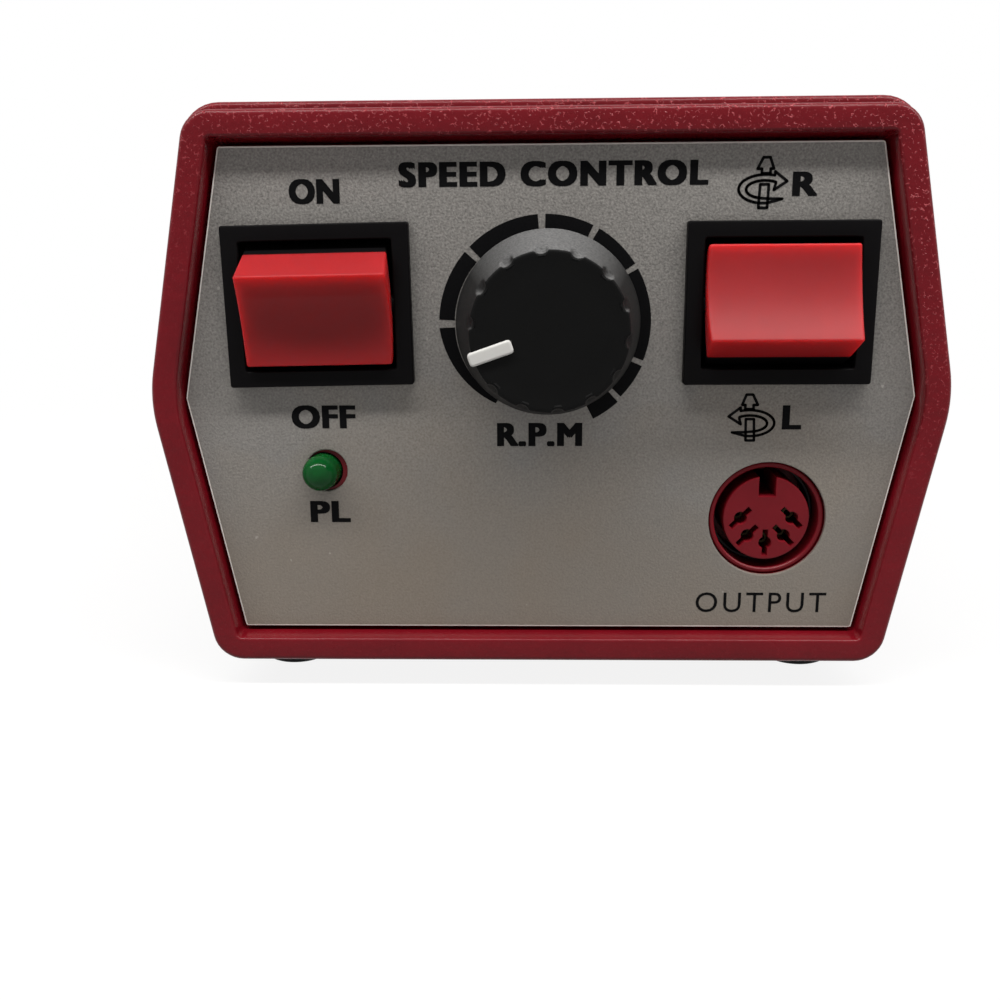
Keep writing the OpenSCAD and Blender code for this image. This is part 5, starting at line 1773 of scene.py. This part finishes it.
@dataclass
class RockerSwitch:
    """One rocker switch: its black bezel and body, and the red rocker."""

    side: Side
    body: str
    bezel_round: float = 0.22 * MM
    bezel_corner: float = 0.35 * MM
    bezel_foot: Point = (0.25 * MM, 0.2 * MM)
    opening_width: float = 19.99 * MM
    opening_height: float = 16.81 * MM
    opening_corner: float = 0.4 * MM
    wall: float = 1 * MM
    floor: float = 2 * MM
    rocker_width: float = 19.25 * MM
    reach: float = 6.35 * MM
    rise: float = 5.1 * MM
    skirt: float = 3.2 * MM
    draft: float = math.radians(7)
    dish: float = 1.25 * MM
    barrel: float = 0.22 * MM
    edge: float = 0.38 * MM
    corner: float = 0.3 * MM
    least_corner: float = 0.12 * MM
    corner_steps: int = 5
    side_cuts: int = 14
    tilt: float = math.radians(20)
    pivot_out: float = 0.3 * MM
    cap_foot: float = -0.5 * MM
    side_draft: float = math.radians(2.6)
    face_rows: tuple[float, ...] = (1.2 * MM, 2.0 * MM, 3.0 * MM, 4.0 * MM, 5.0 * MM, 5.8 * MM)
    pin_radius: float = 1.2 * MM
    turned: float = 0.0

    def seat(self, mould: Mould) -> None:
        """Turns what a mould holds in the panel's plane, as far as the switch sits askew.

        Args:
            mould: The mould.
        """
        spot = Matrix.Translation(middle(self.body + "_switch_body"))
        turn = spot @ Matrix.Rotation(-self.turned, 4, "Y") @ spot.inverted()
        bmesh.ops.transform(mould.bm, matrix=turn, verts=mould.bm.verts)

    def build(self, datum: Datum) -> list[bpy.types.Object]:
        """Makes the switch.

        Args:
            datum: The panel's front face.

        Returns:
            The finished pieces.
        """
        return [self.housing(datum), self.rocker(datum)]

    def housing(self, datum: Datum) -> bpy.types.Object:
        """The bezel and the body behind it.

        Args:
            datum: The panel's front face.

        Returns:
            The finished piece.
        """
        node = self.body + "_switch_body"
        low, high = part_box(node)
        x, z = (low.x + high.x) / 2, (low.z + high.z) / 2
        width, height = high.x - low.x, high.z - low.z
        wide, tall, tight = self.opening_width, self.opening_height, self.opening_corner
        r, corner = self.bezel_round, self.bezel_corner
        rows = [(width - 2 * inset, height - 2 * inset, corner, y) for inset, y in
                ((self.bezel_foot[0], datum.y), (0.0, datum.y - self.bezel_foot[1]),
                 *((r - r * c, low.y + r - r * s) for c, s in quarter(4)))]
        rows += [(wide + 2 * inset, tall + 2 * inset, tight, y) for inset, y in
                 ((r - r * s, low.y + r - r * c) for c, s in quarter(4))]
        rows.append((wide, tall, tight, high.y - self.floor))
        mould = Mould()
        rings = [mould.level(oblong(x, z, w, h, bend), y) for w, h, bend, y in rows]
        mould.skin(rings)
        mould.fill([rings[-1]])
        outer = (wide + 2 * self.wall, tall + 2 * self.wall)
        back = [mould.level(oblong(x, z, *outer, tight), y) for y in (datum.y, high.y)]
        mould.skin([rings[0], *back])
        mould.fill([back[-1]])
        self.seat(mould)
        piece = mould.cast(self.body + "_switch_housing", SWITCH_BLACK)
        return fit_out(piece, "case", "black_plastic", node)

    def rocker(self, datum: Datum) -> bpy.types.Object:
        """The rocker, at rest with its upper or lower end pressed.

        Args:
            datum: The panel's front face.

        Returns:
            The finished piece.
        """
        node = self.body + "_rocker"
        low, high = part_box(node)
        pivot = Vector(((low.x + high.x) / 2, datum.y - self.pivot_out,
                        middle(self.body + "_switch_body").z))
        lean = -self.tilt * self.side.value
        turn = Matrix.Translation(pivot) @ Matrix.Rotation(lean, 4, "X")

        def hollow(z: float) -> float:
            """Share of a hollow or a bulge at a distance from the pivot."""
            return max(0.0, 1 - (z / self.reach) ** 2)

        def row(inset: float, out: Optional[float] = None, sunk: float = 0.0) -> list:
            """Adds a row of points round the rocker, tipped to its rest.

            Args:
                inset: Distance inwards from its edge.
                out: Height of the row; without one it follows the hollow face.
                sunk: Depth below that face.

            Returns:
                The new points.
            """
            deep = 0.0 if out is None else self.rise - out
            long = self.reach - inset + deep * math.tan(self.draft)
            wide = self.rocker_width - 2 * inset - 2 * deep * math.tan(self.side_draft)
            corner = max(self.least_corner, self.corner - inset / 2)
            outline = oblong(0.0, 0.0, wide, 2 * long, corner, self.corner_steps)
            points = []
            for i, (x, z) in enumerate(outline):
                next_x, next_z = outline[(i + 1) % len(outline)]
                cuts = self.side_cuts if i % (self.corner_steps + 1) == self.corner_steps else 1
                for k in range(cuts):
                    px, pz = x + (next_x - x) * k / cuts, z + (next_z - z) * k / cuts
                    side = 1 + 2 * self.barrel / self.rocker_width * hollow(pz)
                    tall = self.rise - self.dish * hollow(pz) - sunk if out is None else out
                    points.append(turn @ Vector((px * side, -tall, pz)))
            return mould.ring(points)

        mould = Mould()
        e = self.edge
        rows = [row(0.0, -self.skirt), row(0.0, self.cap_foot)]
        rows += [row(e - e * c, sunk=e - e * s) for c, s in quarter(5)]
        rows += [row(inset) for inset in self.face_rows]
        mould.skin(rows[1:])
        carrier = mould.skin(rows[:2])
        mould.bm.faces.new(rows[-1])
        carrier.append(mould.bm.faces.new(rows[0]))
        pins = [mould.ring([turn @ Vector((x, y, z)) for y, z in circle(0, 0, self.pin_radius, 24)])
                for x in (low.x - pivot.x, high.x - pivot.x)]
        carrier += mould.skin(pins)
        for pin in pins:
            carrier.append(mould.bm.faces.new(pin))
        for face in carrier:
            face.material_index = 1
        self.seat(mould)
        piece = mould.cast(self.body + "_rocker_cap", ROCKER_RED, 45, SWITCH_BLACK)
        return fit_out(piece, self.body + "_rocker", "rocker_red", node)


@dataclass
class SpeedKnob:
    """Black fluted knob with a white pointer bar."""

    skirt: float = 1.8 * MM
    skirt_edge: float = 0.2 * MM
    skirt_round: float = 0.25 * MM
    skirt_step: float = 0.1 * MM
    gap: float = 0.7 * MM
    top: float = 14.5 * MM
    top_radius: float = 9.8 * MM
    lip: float = 0.35 * MM
    face_rows: tuple[Point, ...] = ((0.93, 0.0), (0.9, 0.05 * MM), (0.7, 0.05 * MM),
                                    (0.4, 0.05 * MM))
    side_sheen_slope: float = 0.6
    hollow_radius: float = 8.2 * MM
    hollow_top: float = 6.5 * MM
    flutes: int = 14
    flute_depth: float = 0.46 * MM
    flute_share: float = 0.42
    flute_start: float = 9.8 * MM
    flute_run: float = 1 * MM
    flute_least: float = 0.94
    pointer_rest: float = math.radians(-109)
    pointer_width: float = 1.7 * MM
    pointer_reach: float = 10.35 * MM
    pointer_length: float = 5.6 * MM
    pointer_up: float = 0.5 * MM
    pointer_sink: float = 0.8 * MM
    pointer_corner: float = 0.45 * MM
    pointer_edge: float = 0.25 * MM

    def build(self, datum: Datum) -> list[bpy.types.Object]:
        """Makes the knob and its pointer.

        Args:
            datum: The panel's front face.

        Returns:
            The finished pieces.
        """
        low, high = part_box("speed_knob")
        axis = Vector(((low.x + high.x) / 2, datum.y, (low.z + high.z) / 2))
        return [self.grip(axis, (high.x - low.x) / 2), self.pointer(axis)]

    def grip(self, axis: Vector, radius: float) -> bpy.types.Object:
        """The turned knob with its flutes.

        Args:
            axis: Point of its axis on the panel.
            radius: Radius of its skirt.

        Returns:
            The finished piece.
        """
        lip, base, step = self.lip, self.gap + self.skirt, self.skirt_step
        top, face = self.top, self.top_radius
        profile = [(self.hollow_radius, self.hollow_top), (self.hollow_radius, self.gap),
                   (radius - self.skirt_edge, self.gap), (radius, self.gap + self.skirt_edge),
                   (radius, base - self.skirt_round), (radius - step, base)]
        cone = face - radius
        for k in range(1, 15):
            share = 1 - (1 - k / 14) ** 2
            profile.append((radius - step + (cone + step) * share,
                            base + (top - lip - base) * share))
        profile += [(face - lip + lip * c, top - lip + lip * s) for c, s in quarter(5)[1:]]
        profile += [(face * share, top - sink) for share, sink in self.face_rows]
        mould = Mould()
        mould.lathe(profile, axis, self.flutes * 24)
        piece = mould.cast("knob_grip", KNOB_BLACK, 50)
        flute_rule().run(piece, Centre_X=axis.x, Centre_Z=axis.z, Count=float(self.flutes),
                         Phase=self.pointer_rest - math.pi / 2, Share=self.flute_share,
                         Depth=self.flute_depth, From_Y=axis.y - base - self.flute_start,
                         Run=self.flute_run, Least_Radius=face * self.flute_least,
                         Finish=KNOB_BLACK.material())
        # The side takes the lighter copy with its painted sheen, the top keeps the plain black
        piece.data.materials.append(KNOB_SIDE_SHEEN.material())
        for side in piece.data.polygons:
            side.material_index = 1 if abs(side.normal.y) < self.side_sheen_slope else 0
        return fit_out(piece, "speed_control", "knob_black", "speed_knob")

    def pointer(self, axis: Vector) -> bpy.types.Object:
        """The bar from near the middle of the top to past its edge.

        Args:
            axis: Point of the knob's axis on the panel.

        Returns:
            The finished piece.
        """
        mould = Mould()
        mid = self.pointer_reach - self.pointer_length / 2
        turn = Matrix.Rotation(-self.pointer_rest, 2)
        bar = [turn @ Vector(p) for p in oblong(0.0, mid, self.pointer_width, self.pointer_length,
                                                self.pointer_corner)]
        mould.plate([(axis.x + p.x, axis.z + p.y) for p in bar], [],
                    axis.y - self.top - self.pointer_up, axis.y - self.top + self.pointer_sink,
                    self.pointer_edge)
        return fit_out(mould.cast("pointer_bar", POINTER_WHITE), "speed_control", "pointer_white",
                       "knob_pointer")


@dataclass
class PilotLamp:
    """Green lamp that leans a little in its hole."""

    radius: float = 2.42 * MM
    flange: float = 0.45 * MM
    flange_up: float = 1 * MM
    flange_edge: float = 0.15 * MM
    taper: float = 0.995
    lean: float = math.radians(8.5)
    toward: float = math.radians(193)

    def build(self) -> bpy.types.Object:
        """Makes the lamp.

        Returns:
            The finished piece.
        """
        low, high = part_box("led_lamp")
        seat = Vector(((low.x + high.x) / 2, high.y, (low.z + high.z) / 2))
        r, up, edge = self.radius, self.flange_up, self.flange_edge
        straight = high.y - low.y - r
        profile = [(r + self.flange, 0.0), (r + self.flange, up - edge),
                   (r + self.flange - edge, up), (r, up + 0.1 * MM), (r, up + 0.5 * MM),
                   (r * self.taper, straight)]
        profile += [(r * c, straight + r * s) for c, s in quarter(15)[1:-1]]
        mould = Mould()
        mould.lathe(profile, Vector((0, 0, 0)), 64)
        axis = Vector((-math.sin(self.toward), 0.0, math.cos(self.toward)))
        tip = Matrix.Translation(seat) @ Matrix.Rotation(self.lean, 4, axis)
        bmesh.ops.transform(mould.bm, matrix=tip, verts=mould.bm.verts)
        return fit_out(mould.cast("lamp_lens", LAMP_GREEN, 50), "case", "lamp_green", "led_lamp")


@dataclass
class OutputSocket:
    """Red five-pole socket: a collar, and a core with contact holes in its round slot."""

    collar_radius: float = 7.85 * MM
    slot_radius: float = 7.15 * MM
    core_radius: float = 5.85 * MM
    slot_depth: float = 9 * MM
    stem_radius: float = 5.05 * MM
    edge: float = 0.3 * MM
    slot_edge: float = 0.15 * MM
    core_edge: float = 0.12 * MM
    flange_edge: float = 0.2 * MM
    flange_corner: float = 1.2 * MM
    flange_thick: float = 2 * MM
    screw_hole: float = 1.3 * MM
    screw_reach: float = 3.5 * MM
    key_width: float = 2.3 * MM
    key_floor: float = 3.05 * MM
    contact_radius: float = 0.86 * MM
    contact_circle: float = 3.5 * MM
    slit_half: float = 1.84 * MM
    slit_width: float = 0.7 * MM
    shield_back: float = 3.6 * MM
    shield_wall: float = 0.28 * MM
    contacts: tuple[Point, ...] = ((180, 45), (225, 45), (270, 90), (315, 135), (360, 135))

    def build(self) -> list[bpy.types.Object]:
        """Makes the collar, the core and the shield.

        Returns:
            The finished pieces.
        """
        low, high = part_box("output_core")
        axis = Vector((middle("output_socket").x, low.y, middle("output_socket").z))
        return [self.collar(axis, high.y - low.y), self.core(axis), self.shield(axis)]

    def collar(self, axis: Vector, deep: float) -> bpy.types.Object:
        """The collar with its slot, and the flange behind the wall.

        Args:
            axis: Point of the socket's axis at its front.
            deep: Depth of the collar.

        Returns:
            The finished piece.
        """
        e, floor, soft = self.edge, -self.slot_depth, self.slot_edge
        profile = [(self.stem_radius, floor), (self.stem_radius, -deep),
                   (self.collar_radius, -deep), (self.collar_radius, -e)]
        profile += [(self.collar_radius - e + e * c, e * s - e) for c, s in quarter(4)[1:]]
        profile += [(self.slot_radius + soft, 0.0), (self.slot_radius, -soft),
                    (self.slot_radius, floor)]
        mould = Mould()
        mould.lathe(profile, axis, 96, ring=True)
        low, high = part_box("output_socket")
        screws = solids("output_screws")
        holes = [circle(axis.x, axis.z, self.collar_radius - self.flange_edge)]
        holes += [circle(axis.x, (a.z + b.z) / 2, self.screw_hole, 32) for a, b in screws]
        flange = oblong(axis.x, axis.z, high.x - low.x, high.z - low.z, self.flange_corner)
        seat = min(a.y for a, _ in screws) + self.screw_reach
        end = min(seat + self.flange_thick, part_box("output_screws")[1].y)
        mould.plate(flange, holes, seat, end, self.flange_edge)
        return fit_out(mould.cast("socket_collar", SOCKET_RED), "case", "socket_red",
                       "output_socket")

    def shield(self, axis: Vector) -> bpy.types.Object:
        """The sleeve at the foot of the slot.

        Args:
            axis: Point of the socket's axis at its front.

        Returns:
            The finished piece.
        """
        low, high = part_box("output_shield")
        outer = (high.x - low.x) / 2
        inner = outer - self.shield_wall
        front, back = axis.y - low.y - self.shield_back, axis.y - high.y
        mould = Mould()
        mould.lathe([(inner, back), (outer, back), (outer, front), (inner, front)], axis, 96,
                    ring=True)
        return fit_out(mould.cast("shield_sleeve", SHIELD_IN_SHADE), "case", "steel", "output_shield")

    def hole(self, axis: Vector, at: float, along: float) -> Loop:
        """Outline of a contact hole with a slit through it.

        Args:
            axis: The socket's axis.
            at: Place of the hole on its circle, in degrees.
            along: Direction of the slit, in degrees.

        Returns:
            The outline's points.
        """
        r, half = self.contact_radius, self.slit_width / 2
        open_turn = math.asin(half / r)
        span = math.pi - 2 * open_turn
        points = []
        for way, start in ((1, open_turn), (-1, math.pi + open_turn)):
            end = way * self.slit_half
            points += [Vector((end, -way * half)), Vector((end, way * half))]
            turns = [start + span * i / 10 for i in range(11)]
            points += [Vector((r * math.cos(t), r * math.sin(t))) for t in turns]
        turn = Matrix.Rotation(math.radians(along), 2)
        place = Vector((axis.x, axis.z)) + self.contact_circle * Vector(
            (math.cos(math.radians(at)), math.sin(math.radians(at))))
        return [tuple(turn @ p + place) for p in points]

    def core(self, axis: Vector) -> bpy.types.Object:
        """The core with its key notch and contact holes.

        Args:
            axis: Point of the socket's axis at its front.

        Returns:
            The finished piece.
        """
        r, half = self.core_radius, self.key_width / 2
        open_turn = math.asin(half / r)
        start, span = math.pi / 2 + open_turn, math.tau - 2 * open_turn
        turns = [start + span * i / 80 for i in range(81)]
        outline = [(axis.x + r * math.cos(t), axis.z + r * math.sin(t)) for t in turns]
        floor = axis.z + self.key_floor
        outline += [(axis.x + half, floor), (axis.x - half, floor)]
        mould = Mould()
        mould.plate(outline, [self.hole(axis, *pair) for pair in self.contacts], axis.y,
                    axis.y + self.slot_depth, self.core_edge, 2)
        return fit_out(mould.cast("socket_core", SOCKET_RED), "case", "socket_red", "output_core")


@dataclass
class Underside:
    """Rubber feet, and the screws that are seen from below."""

    foot_round: float = 1 * MM
    foot_hole: float = 3 * MM
    hole_depth: float = 2 * MM
    foot_bore: float = 1.5 * MM
    foot_taper: float = 0.97
    foot_ease: float = 0.3 * MM

    def build(self, repeat: NodeRule) -> list[bpy.types.Object]:
        """Makes the feet, and the screws in and between them.

        Args:
            repeat: The tree that sets a piece at points.

        Returns:
            The finished pieces.
        """
        feet = solids("rubber_feet")
        low, high = feet[0]
        radius, tall = (high.x - low.x) / 2, high.z - low.z
        r, bore = self.foot_round, self.foot_bore
        profile = [(self.foot_hole, 0.0), (self.foot_hole, self.hole_depth),
                   (bore, self.hole_depth), (bore, tall), (radius * self.foot_taper, tall),
                   (radius, tall - self.foot_ease)]
        profile += [(radius - r + r * c, r - r * s) for c, s in quarter(5)]
        mould = Mould()
        mould.skin([mould.floor(circle(0, 0, at, 48), z) for at, z in profile], joined=True)
        foot = mould.cast("foot", FOOT_RUBBER)
        spots = [Vector(((a.x + b.x) / 2, (a.y + b.y) / 2, a.z)) for a, b in feet]
        made = at_points("rubber_feet_set", spots, foot, repeat, Vector((0, 0, 1)), FOOT_RUBBER)
        pieces = [fit_out(made, "case", "foot_rubber", "rubber_feet")]
        for node, name in (("foot_screws", "foot_screw_set"),
                           ("closing_screws", "closing_screw_set")):
            pieces.append(CrossScrews(node, name, Vector((0, 0, -1))).build(repeat))
        return pieces


@dataclass
class CrossScrews:
    """Pan-head screws with a cross recess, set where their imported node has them."""

    node: str
    name: str
    aim: Vector
    head_share: float = 0.5
    recess: float = 0.75
    recess_slim: float = 0.34

    def build(self, repeat: NodeRule) -> bpy.types.Object:
        """Makes the screws.

        Args:
            repeat: The tree that sets a piece at points.

        Returns:
            The finished piece.
        """
        boxes = solids(self.node)
        low, high = boxes[0]
        axis = max(range(3), key=lambda i: abs(self.aim[i]))
        wide = [i for i in range(3) if i != axis][0]
        radius, tall = (high[wide] - low[wide]) / 2, high[axis] - low[axis]
        shank, head = radius * self.head_share, min(radius * 0.75, tall * 0.25)
        profile = [(shank * 0.6, head - tall), (shank, head - tall + shank * 0.5), (shank, 0.0),
                   (radius, 0.0)]
        profile += [(radius * c, head * (0.25 + 0.75 * s)) for c, s in quarter(6)[1:-1]]
        mould = Mould()
        mould.lathe(profile, Vector((0, 0, 0)), 40)
        screw = mould.cast(self.name + "_one", STEEL)
        cross = Mould()
        bar = radius * self.recess
        slim = bar * self.recess_slim
        for w, h in ((2 * bar, slim), (slim, 2 * bar)):
            cross.plate(oblong(0.0, 0.0, w, h, bar * 0.1, 2), [], -head * 1.3, -(head * 0.5))
        carved(screw, cross.cast("recess_cutter", STEEL), own=True)
        turn = Vector((0, -1, 0)).rotation_difference(self.aim).to_matrix().to_4x4()
        screw.data.transform(turn)
        spots = []
        for a, b in boxes:
            spot = (a + b) / 2
            spot[axis] = b[axis] - head if self.aim[axis] > 0 else a[axis] + head
            spots.append(spot)
        made = at_points(self.name, spots, screw, repeat, self.aim, STEEL)
        return fit_out(made, "case", "steel", self.node)


@dataclass
class RearPanel:
    """Plate at the back with vent slots, and the fittings in it."""

    outline: CaseOutline
    reach: float = 1.35 * MM
    edge: float = 0.3 * MM
    vents: int = 8
    vent_width: float = 2 * MM
    vent_height: float = 15 * MM
    vent_pitch: float = 4.6 * MM
    vent_x: float = -17 * MM
    vent_z: float = 16 * MM
    inlet_hole: tuple[float, float, float] = (28 * MM, 20.4 * MM, 1.5 * MM)
    jack_radius: float = 4.6 * MM
    mode_hole: tuple[float, float, float] = (9.8 * MM, 4.4 * MM, 0.4 * MM)

    def build(self, repeat: NodeRule) -> list[bpy.types.Object]:
        """Makes the plate and softens its fittings.

        Args:
            repeat: The tree that sets a piece at points.

        Returns:
            The finished pieces.
        """
        pieces = [self.plate()]
        for node, name, finish, width, body in (
                ("mains_inlet", "inlet_housing", BLACK_PLASTIC, 0.3, "case"),
                ("inlet_pins", "inlet_blades", TINNED_STEEL, 0.25, "case"),
                ("pedal_jack", "jack_barrel", BLACK_PLASTIC, 0.2, "case"),
                ("jack_nut", "jack_ring_nut", STEEL, 0.25, "case"),
                ("mode_switch_body", "mode_switch_frame", TINNED_STEEL, 0.15, "case"),
                ("mode_slider", "mode_slider_button", BLACK_PLASTIC, 0.25, "mode_slider")):
            mould = Mould()
            mould.copy(node)
            piece = eased(mould.cast(name, finish), width * MM)
            pieces.append(fit_out(piece, body, finish.name, node))
        for node, name in (("inlet_screws", "inlet_screw_set"), ("mode_screws", "mode_screw_set")):
            pieces.append(CrossScrews(node, name, Vector((0, 1, 0))).build(repeat))
        return pieces

    def plate(self) -> bpy.types.Object:
        """The plate with its openings, made face down and swung over.

        Returns:
            The finished piece.
        """
        low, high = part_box("rear_panel")
        datum = self.outline.datum
        inlet, jack, mode = middle("mains_inlet"), middle("pedal_jack"), middle("mode_screws")
        first = self.vent_x - (self.vents - 1) / 2 * self.vent_pitch
        holes = [oblong(datum.x + first + i * self.vent_pitch, datum.z + self.vent_z,
                        self.vent_width, self.vent_height, self.vent_width * 0.49)
                 for i in range(self.vents)]
        holes.append(oblong(inlet.x, inlet.z, *self.inlet_hole))
        holes.append(circle(jack.x, jack.z, self.jack_radius))
        holes.append(oblong(mode.x, mode.z, *self.mode_hole))
        border, *holes = [[(x, 2 * datum.z - z) for x, z in loop]
                          for loop in (self.outline.loop(self.reach), *holes)]
        mould = Mould()
        mould.plate(border, holes, -high.y, -low.y, self.edge, 3)
        swing = Matrix.Translation((0, 0, 2 * datum.z)) @ Matrix.Rotation(math.pi, 4, "X")
        bmesh.ops.transform(mould.bm, matrix=swing, verts=mould.bm.verts)
        return fit_out(mould.cast("rear_plate", CASE_RED), "case", "case_red", "rear_panel")


@dataclass
class InnerWorks:
    """Pieces inside the case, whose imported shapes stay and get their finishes."""

    finishes: tuple[Finish, ...] = (
        STEEL, TINNED_STEEL, BLACK_PLASTIC, PLUNGER_NYLON, CONTACT_BRASS, WIPER_PHENOLIC, CORE_IRON,
        BOBBIN_NYLON, WINDING_COPPER, BOARD_LAMINATE, CAPACITOR_SLEEVE, SINK_ALUMINIUM, FUSE_GLASS,
        CONNECTOR_WHITE, CASE_RED, PANEL_SILVER, FOOT_RUBBER, KNOB_BLACK, POINTER_WHITE, ROCKER_RED,
        LAMP_GREEN, SOCKET_RED)
    shaded_nodes: dict[str, Finish] = field(default_factory=lambda: {"output_contacts": BRASS_IN_SHADE})

    def dress(self) -> None:
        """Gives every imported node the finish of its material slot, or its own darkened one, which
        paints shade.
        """
        named = {finish.name: finish for finish in self.finishes}
        for name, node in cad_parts.items():
            for slot in node.material_slots:
                key = slot.material.name.split(".")[0] if slot.material else ""
                slot.material = self.shaded_nodes.get(name, named.get(key, STEEL)).material()
            LOG.info("%s keeps its packed shape", name)


@dataclass
class Studio:
    """Paper floor, soft light from above the front, and the camera."""

    paper_half: float = 1.6
    paper_back: float = 0.9
    paper_front: float = 1.0
    paper_bend: float = 0.35
    paper_high: float = 1.6
    key_distance: float = 0.8
    key_height: float = math.radians(68)
    key_power: float = 26.0
    key_width: float = 2.6
    key_depth: float = 0.1
    key_right: float = 0.2
    key_colour: Colour = (1.0, 0.985, 0.965)
    ambient: float = 0.11
    eye: Vector = field(default_factory=lambda: Vector((-2.8055, 23.9076, 157.4055)) * MM)
    turns: tuple[float, float, float] = (0.25215467, -0.03202859, 0.00786196)
    focal: float = 1.18084922
    principal: Point = (0.48958247, 0.51759927)

    def build(self, datum: Datum) -> None:
        """Sets up the stage.

        Args:
            datum: The panel's front face.
        """
        self.paper()
        self.sky()
        self.key(datum)
        self.camera(datum)

    def paper(self) -> None:
        """Floor that bends up into a backdrop."""
        bend, back = self.paper_bend, self.paper_back
        line = [(-self.paper_front, 0.0), (-0.3, 0.0), (back - bend, 0.0)]
        line += [(back - bend + bend * s, bend - bend * c) for c, s in quarter(16)[1:]]
        line.append((back, self.paper_high))
        mould = Mould()
        rows = [mould.ring([(x, y, z) for y, z in line])
                for x in (-self.paper_half, self.paper_half)]
        mould.skin(rows, closed=False)
        floor = mould.cast("studio_floor", PAPER, 60)

    def sky(self) -> None:
        """White round about where it is seen, dimmer where it lights."""
        world = bpy.data.worlds.new("studio")
        bpy.context.scene.world = world
        world.use_nodes = True
        nodes = Nodes(world.node_tree)
        back = world.node_tree.nodes["Background"]
        back.inputs["Color"].default_value = (*WHITE, 1.0)
        level = nodes.spread(nodes.seen(), 0, self.ambient, 1.0)
        nodes.feed(back.inputs["Strength"], (level, "Result"))

    def key(self, datum: Datum) -> None:
        """One wide lamp above the front.

        Args:
            datum: The panel's front face.
        """
        lamp = bpy.data.lights.new("key", "AREA")
        lamp.shape = "RECTANGLE"
        lamp.size = self.key_width
        lamp.size_y = self.key_depth
        lamp.energy = self.key_power
        lamp.color = self.key_colour
        obj = linked("key", lamp)
        far = self.key_distance
        obj.location = datum.point(self.key_right, far * math.sin(self.key_height),
                                   far * math.cos(self.key_height))
        obj.rotation_euler = (math.pi / 2 - self.key_height, 0.0, 0.0)

    def camera(self, datum: Datum) -> None:
        """The photograph's viewpoint, set out from the panel.

        Args:
            datum: The panel's front face.
        """
        view = bpy.data.cameras.new("camera")
        view.sensor_width = 36.0
        view.sensor_fit = "HORIZONTAL"
        view.lens = self.focal * view.sensor_width
        view.shift_x = 0.5 - self.principal[0]
        view.shift_y = self.principal[1] - 0.5
        view.clip_start = 0.01
        obj = linked("camera", view)
        pitch, yaw, roll = self.turns
        look = (Matrix.Rotation(roll, 3, "Z") @ Matrix.Rotation(pitch, 3, "X")
                @ Matrix.Rotation(yaw, 3, "Y"))
        stand = Matrix.Rotation(math.pi / 2, 3, "X") @ look.transposed()
        obj.matrix_world = Matrix.Translation(datum.point(*self.eye)) @ stand.to_4x4()
        bpy.context.scene.camera = obj


@dataclass
class Openings:
    """Outlines of the openings that the panel sheet and the wall behind it share."""

    datum: Datum
    lamp_sheet: float = 2.86 * MM
    lamp_wall: float = 2.56 * MM
    lamp_shift: Point = (0.38 * MM, 0.1 * MM)
    output_radius: float = 7.95 * MM
    knob_radius: float = 4.2 * MM
    switch_hole: tuple[float, float, float] = (22.4 * MM, 19.2 * MM, 0.3 * MM)

    def loops(self, wall: bool = False) -> list[Loop]:
        """The outlines.

        Args:
            wall: Whether they are for the wall, where the lamp's hole is tighter and to the left.

        Returns:
            One outline for each opening.
        """
        loops = []
        for body in ("power", "direction"):
            spot = middle(body + "_switch_body")
            loops.append(oblong(spot.x, spot.z, *self.switch_hole, 3))
        knob, lamp, output = middle("speed_knob"), middle("led_lamp"), middle("output_socket")
        loops.append(circle(knob.x, knob.z, self.knob_radius, 48))
        if wall:
            loops.append(circle(lamp.x - self.lamp_shift[0], lamp.z - self.lamp_shift[1],
                                self.lamp_wall, 64))
        else:
            loops.append(circle(lamp.x, lamp.z, self.lamp_sheet, 64))
        loops.append(circle(output.x, output.z, self.output_radius, 96))
        return loops


def main() -> None:
    """Builds the part's looks, the stage and the camera."""
    logging.basicConfig(level=logging.INFO, format="%(name)s: %(message)s")
    scene = bpy.context.scene
    scene.view_settings.view_transform = "Standard"
    datum = Datum.of_panel()
    outline = CaseOutline(datum)
    InnerWorks().dress()
    openings = Openings(datum)
    FrontFrame(outline).build(openings.loops(wall=True))
    PanelSheet(outline).build(openings.loops())
    PanelPrint(datum, middle("speed_knob").z - datum.z).build()
    CaseShells(outline).build()
    RockerSwitch(Side.LEFT, "power", turned=math.radians(0.9)).build(datum)
    RockerSwitch(Side.RIGHT, "direction").build(datum)
    SpeedKnob().build(datum)
    PilotLamp().build()
    OutputSocket().build()
    repeat = repeat_rule()
    Underside().build(repeat)
    RearPanel(outline).build(repeat)
    Studio().build(datum)


if __name__ == "__main__":
    main()
